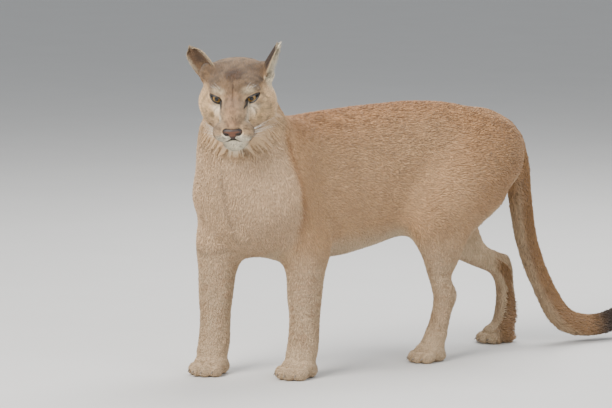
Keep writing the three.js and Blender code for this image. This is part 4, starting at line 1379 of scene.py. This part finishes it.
def addCoat():
    place, normal, uv, region = seedTufts()
    kept = keepTuft(place)
    place, normal, uv, region = place[kept], normal[kept], uv[kept], region[kept]
    lie = lieAt(place, normal)
    n = len(place)
    length = perRegion("length")[region] * mm * rng.uniform(0.75, 1.25, n)
    width = perRegion("width")[region] * mm * rng.uniform(0.8, 1.25, n)
    lift = perRegion("lift")[region] * rng.uniform(0.7, 1.3, n)
    spread = np.where(region >= face, 0.34, 0.16)
    colour = coatColour(place, normal) * (1 + spread * rng.uniform(-1, 1, n))[:, None]
    streaks = valueNoise(place * np.array([1, 0.55, 1]), 0.007, 31) * smoothStep(0.3, 0.55, place[:, 2])
    q = toHead(place)
    nearLine = np.minimum(distanceToPath(q, mouthPath), distanceToPath(q, cleftPath))
    for tear in tearPaths:
        nearLine = np.minimum(nearLine, distanceToPath(q, tear))
    length = length * np.where(region >= face, 0.3 + 0.7 * smoothStep(4, 13, nearLine), 1)
    streaks = streaks * np.where((region == neck) | (region == cheek), 0.45, 1)
    tipShade = 1.04 - 0.72 * smoothStep(0.40, 0.72, streaks) + rng.uniform(-0.1, 0.18, n)
    for index, name in enumerate(regionNames):
        members = np.nonzero(region == index)[0]
        members = members[np.argsort(place[members, 1], kind="stable")]
        pieces = max(1, math.ceil(len(members) / coatSettings["maxPerPiece"]))
        for part, chosen in enumerate(np.array_split(members, pieces), 1):
            growTufts(
                f"coat_{name}_{part}", place[chosen], normal[chosen], uv[chosen], lie[chosen],
                length[chosen], width[chosen], lift[chosen], colour[chosen], tipShade[chosen],
                short=name == "face",
            )
    print("coat grown", n)


addCoat()


# The unwrap's places of the ears' nearest corners, which the skin holds after its own
def unwrapPlaces(places):
    uvOf = np.zeros((len(skin.data.vertices), 2))
    uvOf[cornersOf(skin)] = uvsOf(skin)
    points = verticesOf(skin)
    tree = KDTree(len(points) - fineSkinCount)
    for index in range(fineSkinCount, len(points)):
        tree.insert(points[index], index)
    tree.balance()
    return uvOf[[tree.find(place)[1] for place in places]]


# Short hair over the ears' backs, and a longer pale fringe in the mouth of the cup
def addEarFur(side):
    toRow = earPlace(side)
    n = coatSettings["earTufts"]
    u = rng.uniform(-1, 1, n)
    v = rng.uniform(0.12, 0.985, n)
    outside = rng.random(n) < 0.5
    step = 0.01
    deep = np.where(outside, 0.0, earWall(u, v))
    at = lambda uu, vv: toRow(earSurface(uu, vv, deep))
    place = at(u, v)
    alongU, alongV = at(u + step, v) - place, at(u, v + step * 0.5) - place
    normal = unit(np.cross(alongU, alongV))
    outward = toRow(earSurface(u, v, deep - 3)) - place
    normal *= np.sign((normal * outward).sum(1, keepdims=True))
    normal[~outside] *= -1
    lie = unit(alongV)
    edge = smoothStep(0.55, 0.95, np.abs(u)) * fade(0.75, 0.95, v)
    towardMiddle = -np.sign(u)[:, None] * unit(alongU)
    bristling = lie + towardMiddle * edge[:, None] * 1.1 + normal * 0.25 * edge[:, None]
    lie = unit(np.where(outside[:, None], lie, bristling))
    if side > 0:
        low = fade(0.5, 0.95, v)[:, None]
        lie = np.where(outside[:, None], lie, unit(lie * 0.5 + normal * 0.9 - upAxis * 0.7 * low))
    fringe = (9.0 + 11.0 * (1 - v)) if side > 0 else (4.0 + 3.0 * edge)
    length = np.where(outside, 5.5, fringe) * mm * rng.uniform(0.7, 1.3, n)
    width = np.where(outside, 1.1, 0.9) * mm * rng.uniform(0.8, 1.2, n)
    lift = np.where(outside, 0.14, 0.22 + 0.2 * edge)
    colour = np.where(outside[:, None], tones["earBack"], tones["earIn"])
    colour = toned(colour, "forehead", outside * fade(0.12, 0.38, v))
    rim = smoothStep(0.8, 0.98, np.abs(u)) * 0.8 + smoothStep(0.86, 0.97, v) * 0.5
    colour = layered(colour, [
        ("earEdge", outside * rim),
        # painted shade in the middle of the cup
        ("dark", ~outside * bell(u, 0.45) * bell(v - 0.38, 0.28) * 0.7),
        ("forehead", ~outside * smoothStep(0.3, 0.8, -side * u) * 0.8),
    ])
    paleness = 1.0 if side > 0 else 0.3
    pale = np.clip(edge + smoothStep(0.85, 0.97, v) * 0.6 + 0.7 * (side > 0), 0, 1)
    colour = toned(colour, "fringe", ~outside * pale * paleness)
    colour = toned(colour, "forehead", fade(0.16, 0.34, v))
    colour = colour * rng.uniform(0.85, 1.15, n)[:, None]
    uv = unwrapPlaces(place)
    growTufts(
        f"coat_ear_{sideNames[side].lower()}", place, normal, uv, lie, length, width, lift, colour,
        rng.uniform(0.85, 1.15, n), short=True,
    )


for side in (+1, -1):
    addEarFur(side)
print("ear fur grown")


# Floor, camera and lights
viewSettings = {
    "azimuth": 60, "elevation": 7, "distance": 9.0, "lens": 210.2,
    "middleBeside": 0.1134, "middleHeight": 0.4, "toLens": 0.0025,
}


def addFloor():
    bpy.ops.mesh.primitive_plane_add(size=60, location=(0, 0, 0))
    floor = bpy.context.object
    floor.name = "floor"
    floor.data.materials.append(floorFinish())


def addCamera():
    a, e = math.radians(viewSettings["azimuth"]), math.radians(viewSettings["elevation"])
    back = Vector((math.sin(a) * math.cos(e), -math.cos(a) * math.cos(e), math.sin(e)))
    right = Vector((math.cos(a), math.sin(a), 0))
    # the trunk's own middle, which the bend of the spine leaves behind the CAD origin
    trunkOrigin = Vector((-0.035, -0.163, viewSettings["middleHeight"]))
    aim = trunkOrigin - right * viewSettings["middleBeside"] + back.cross(right) * viewSettings["toLens"]
    camera = bpy.data.cameras.new("camera")
    camera.lens = viewSettings["lens"]
    camera.sensor_width = 36
    camera.clip_end = 100
    holder = linked("camera", camera)
    holder.location = aim + back * viewSettings["distance"]
    holder.rotation_euler = back.to_track_quat("Z", "Y").to_euler()
    bpy.context.scene.camera = holder


def addLight(name, place, size, power, warmth=(1, 1, 1)):
    lamp = bpy.data.lights.new(name, "AREA")
    lamp.energy, lamp.size, lamp.color = power, size, warmth
    holder = linked(name, lamp)
    holder.location = place
    holder.rotation_euler = Vector(place).to_track_quat("Z", "Y").to_euler()


def addWorld():
    world = bpy.data.worlds.new("studio")
    world.use_nodes = True
    sky = world.node_tree.nodes["Background"].inputs
    sky["Color"].default_value = (0.86, 0.9, 0.95, 1)
    sky["Strength"].default_value = 0.55
    bpy.context.scene.world = world


addFloor()
addCamera()
addLight("key", (1.2, -3.6, 3.6), 2.4, 380, (1.0, 0.97, 0.93))
addLight("fill", (3.8, 0.6, 2.0), 3.0, 90, (0.94, 0.97, 1.0))
addLight("top", (-1.2, 1.6, 3.6), 3.0, 200)
addWorld()
print("stage set")
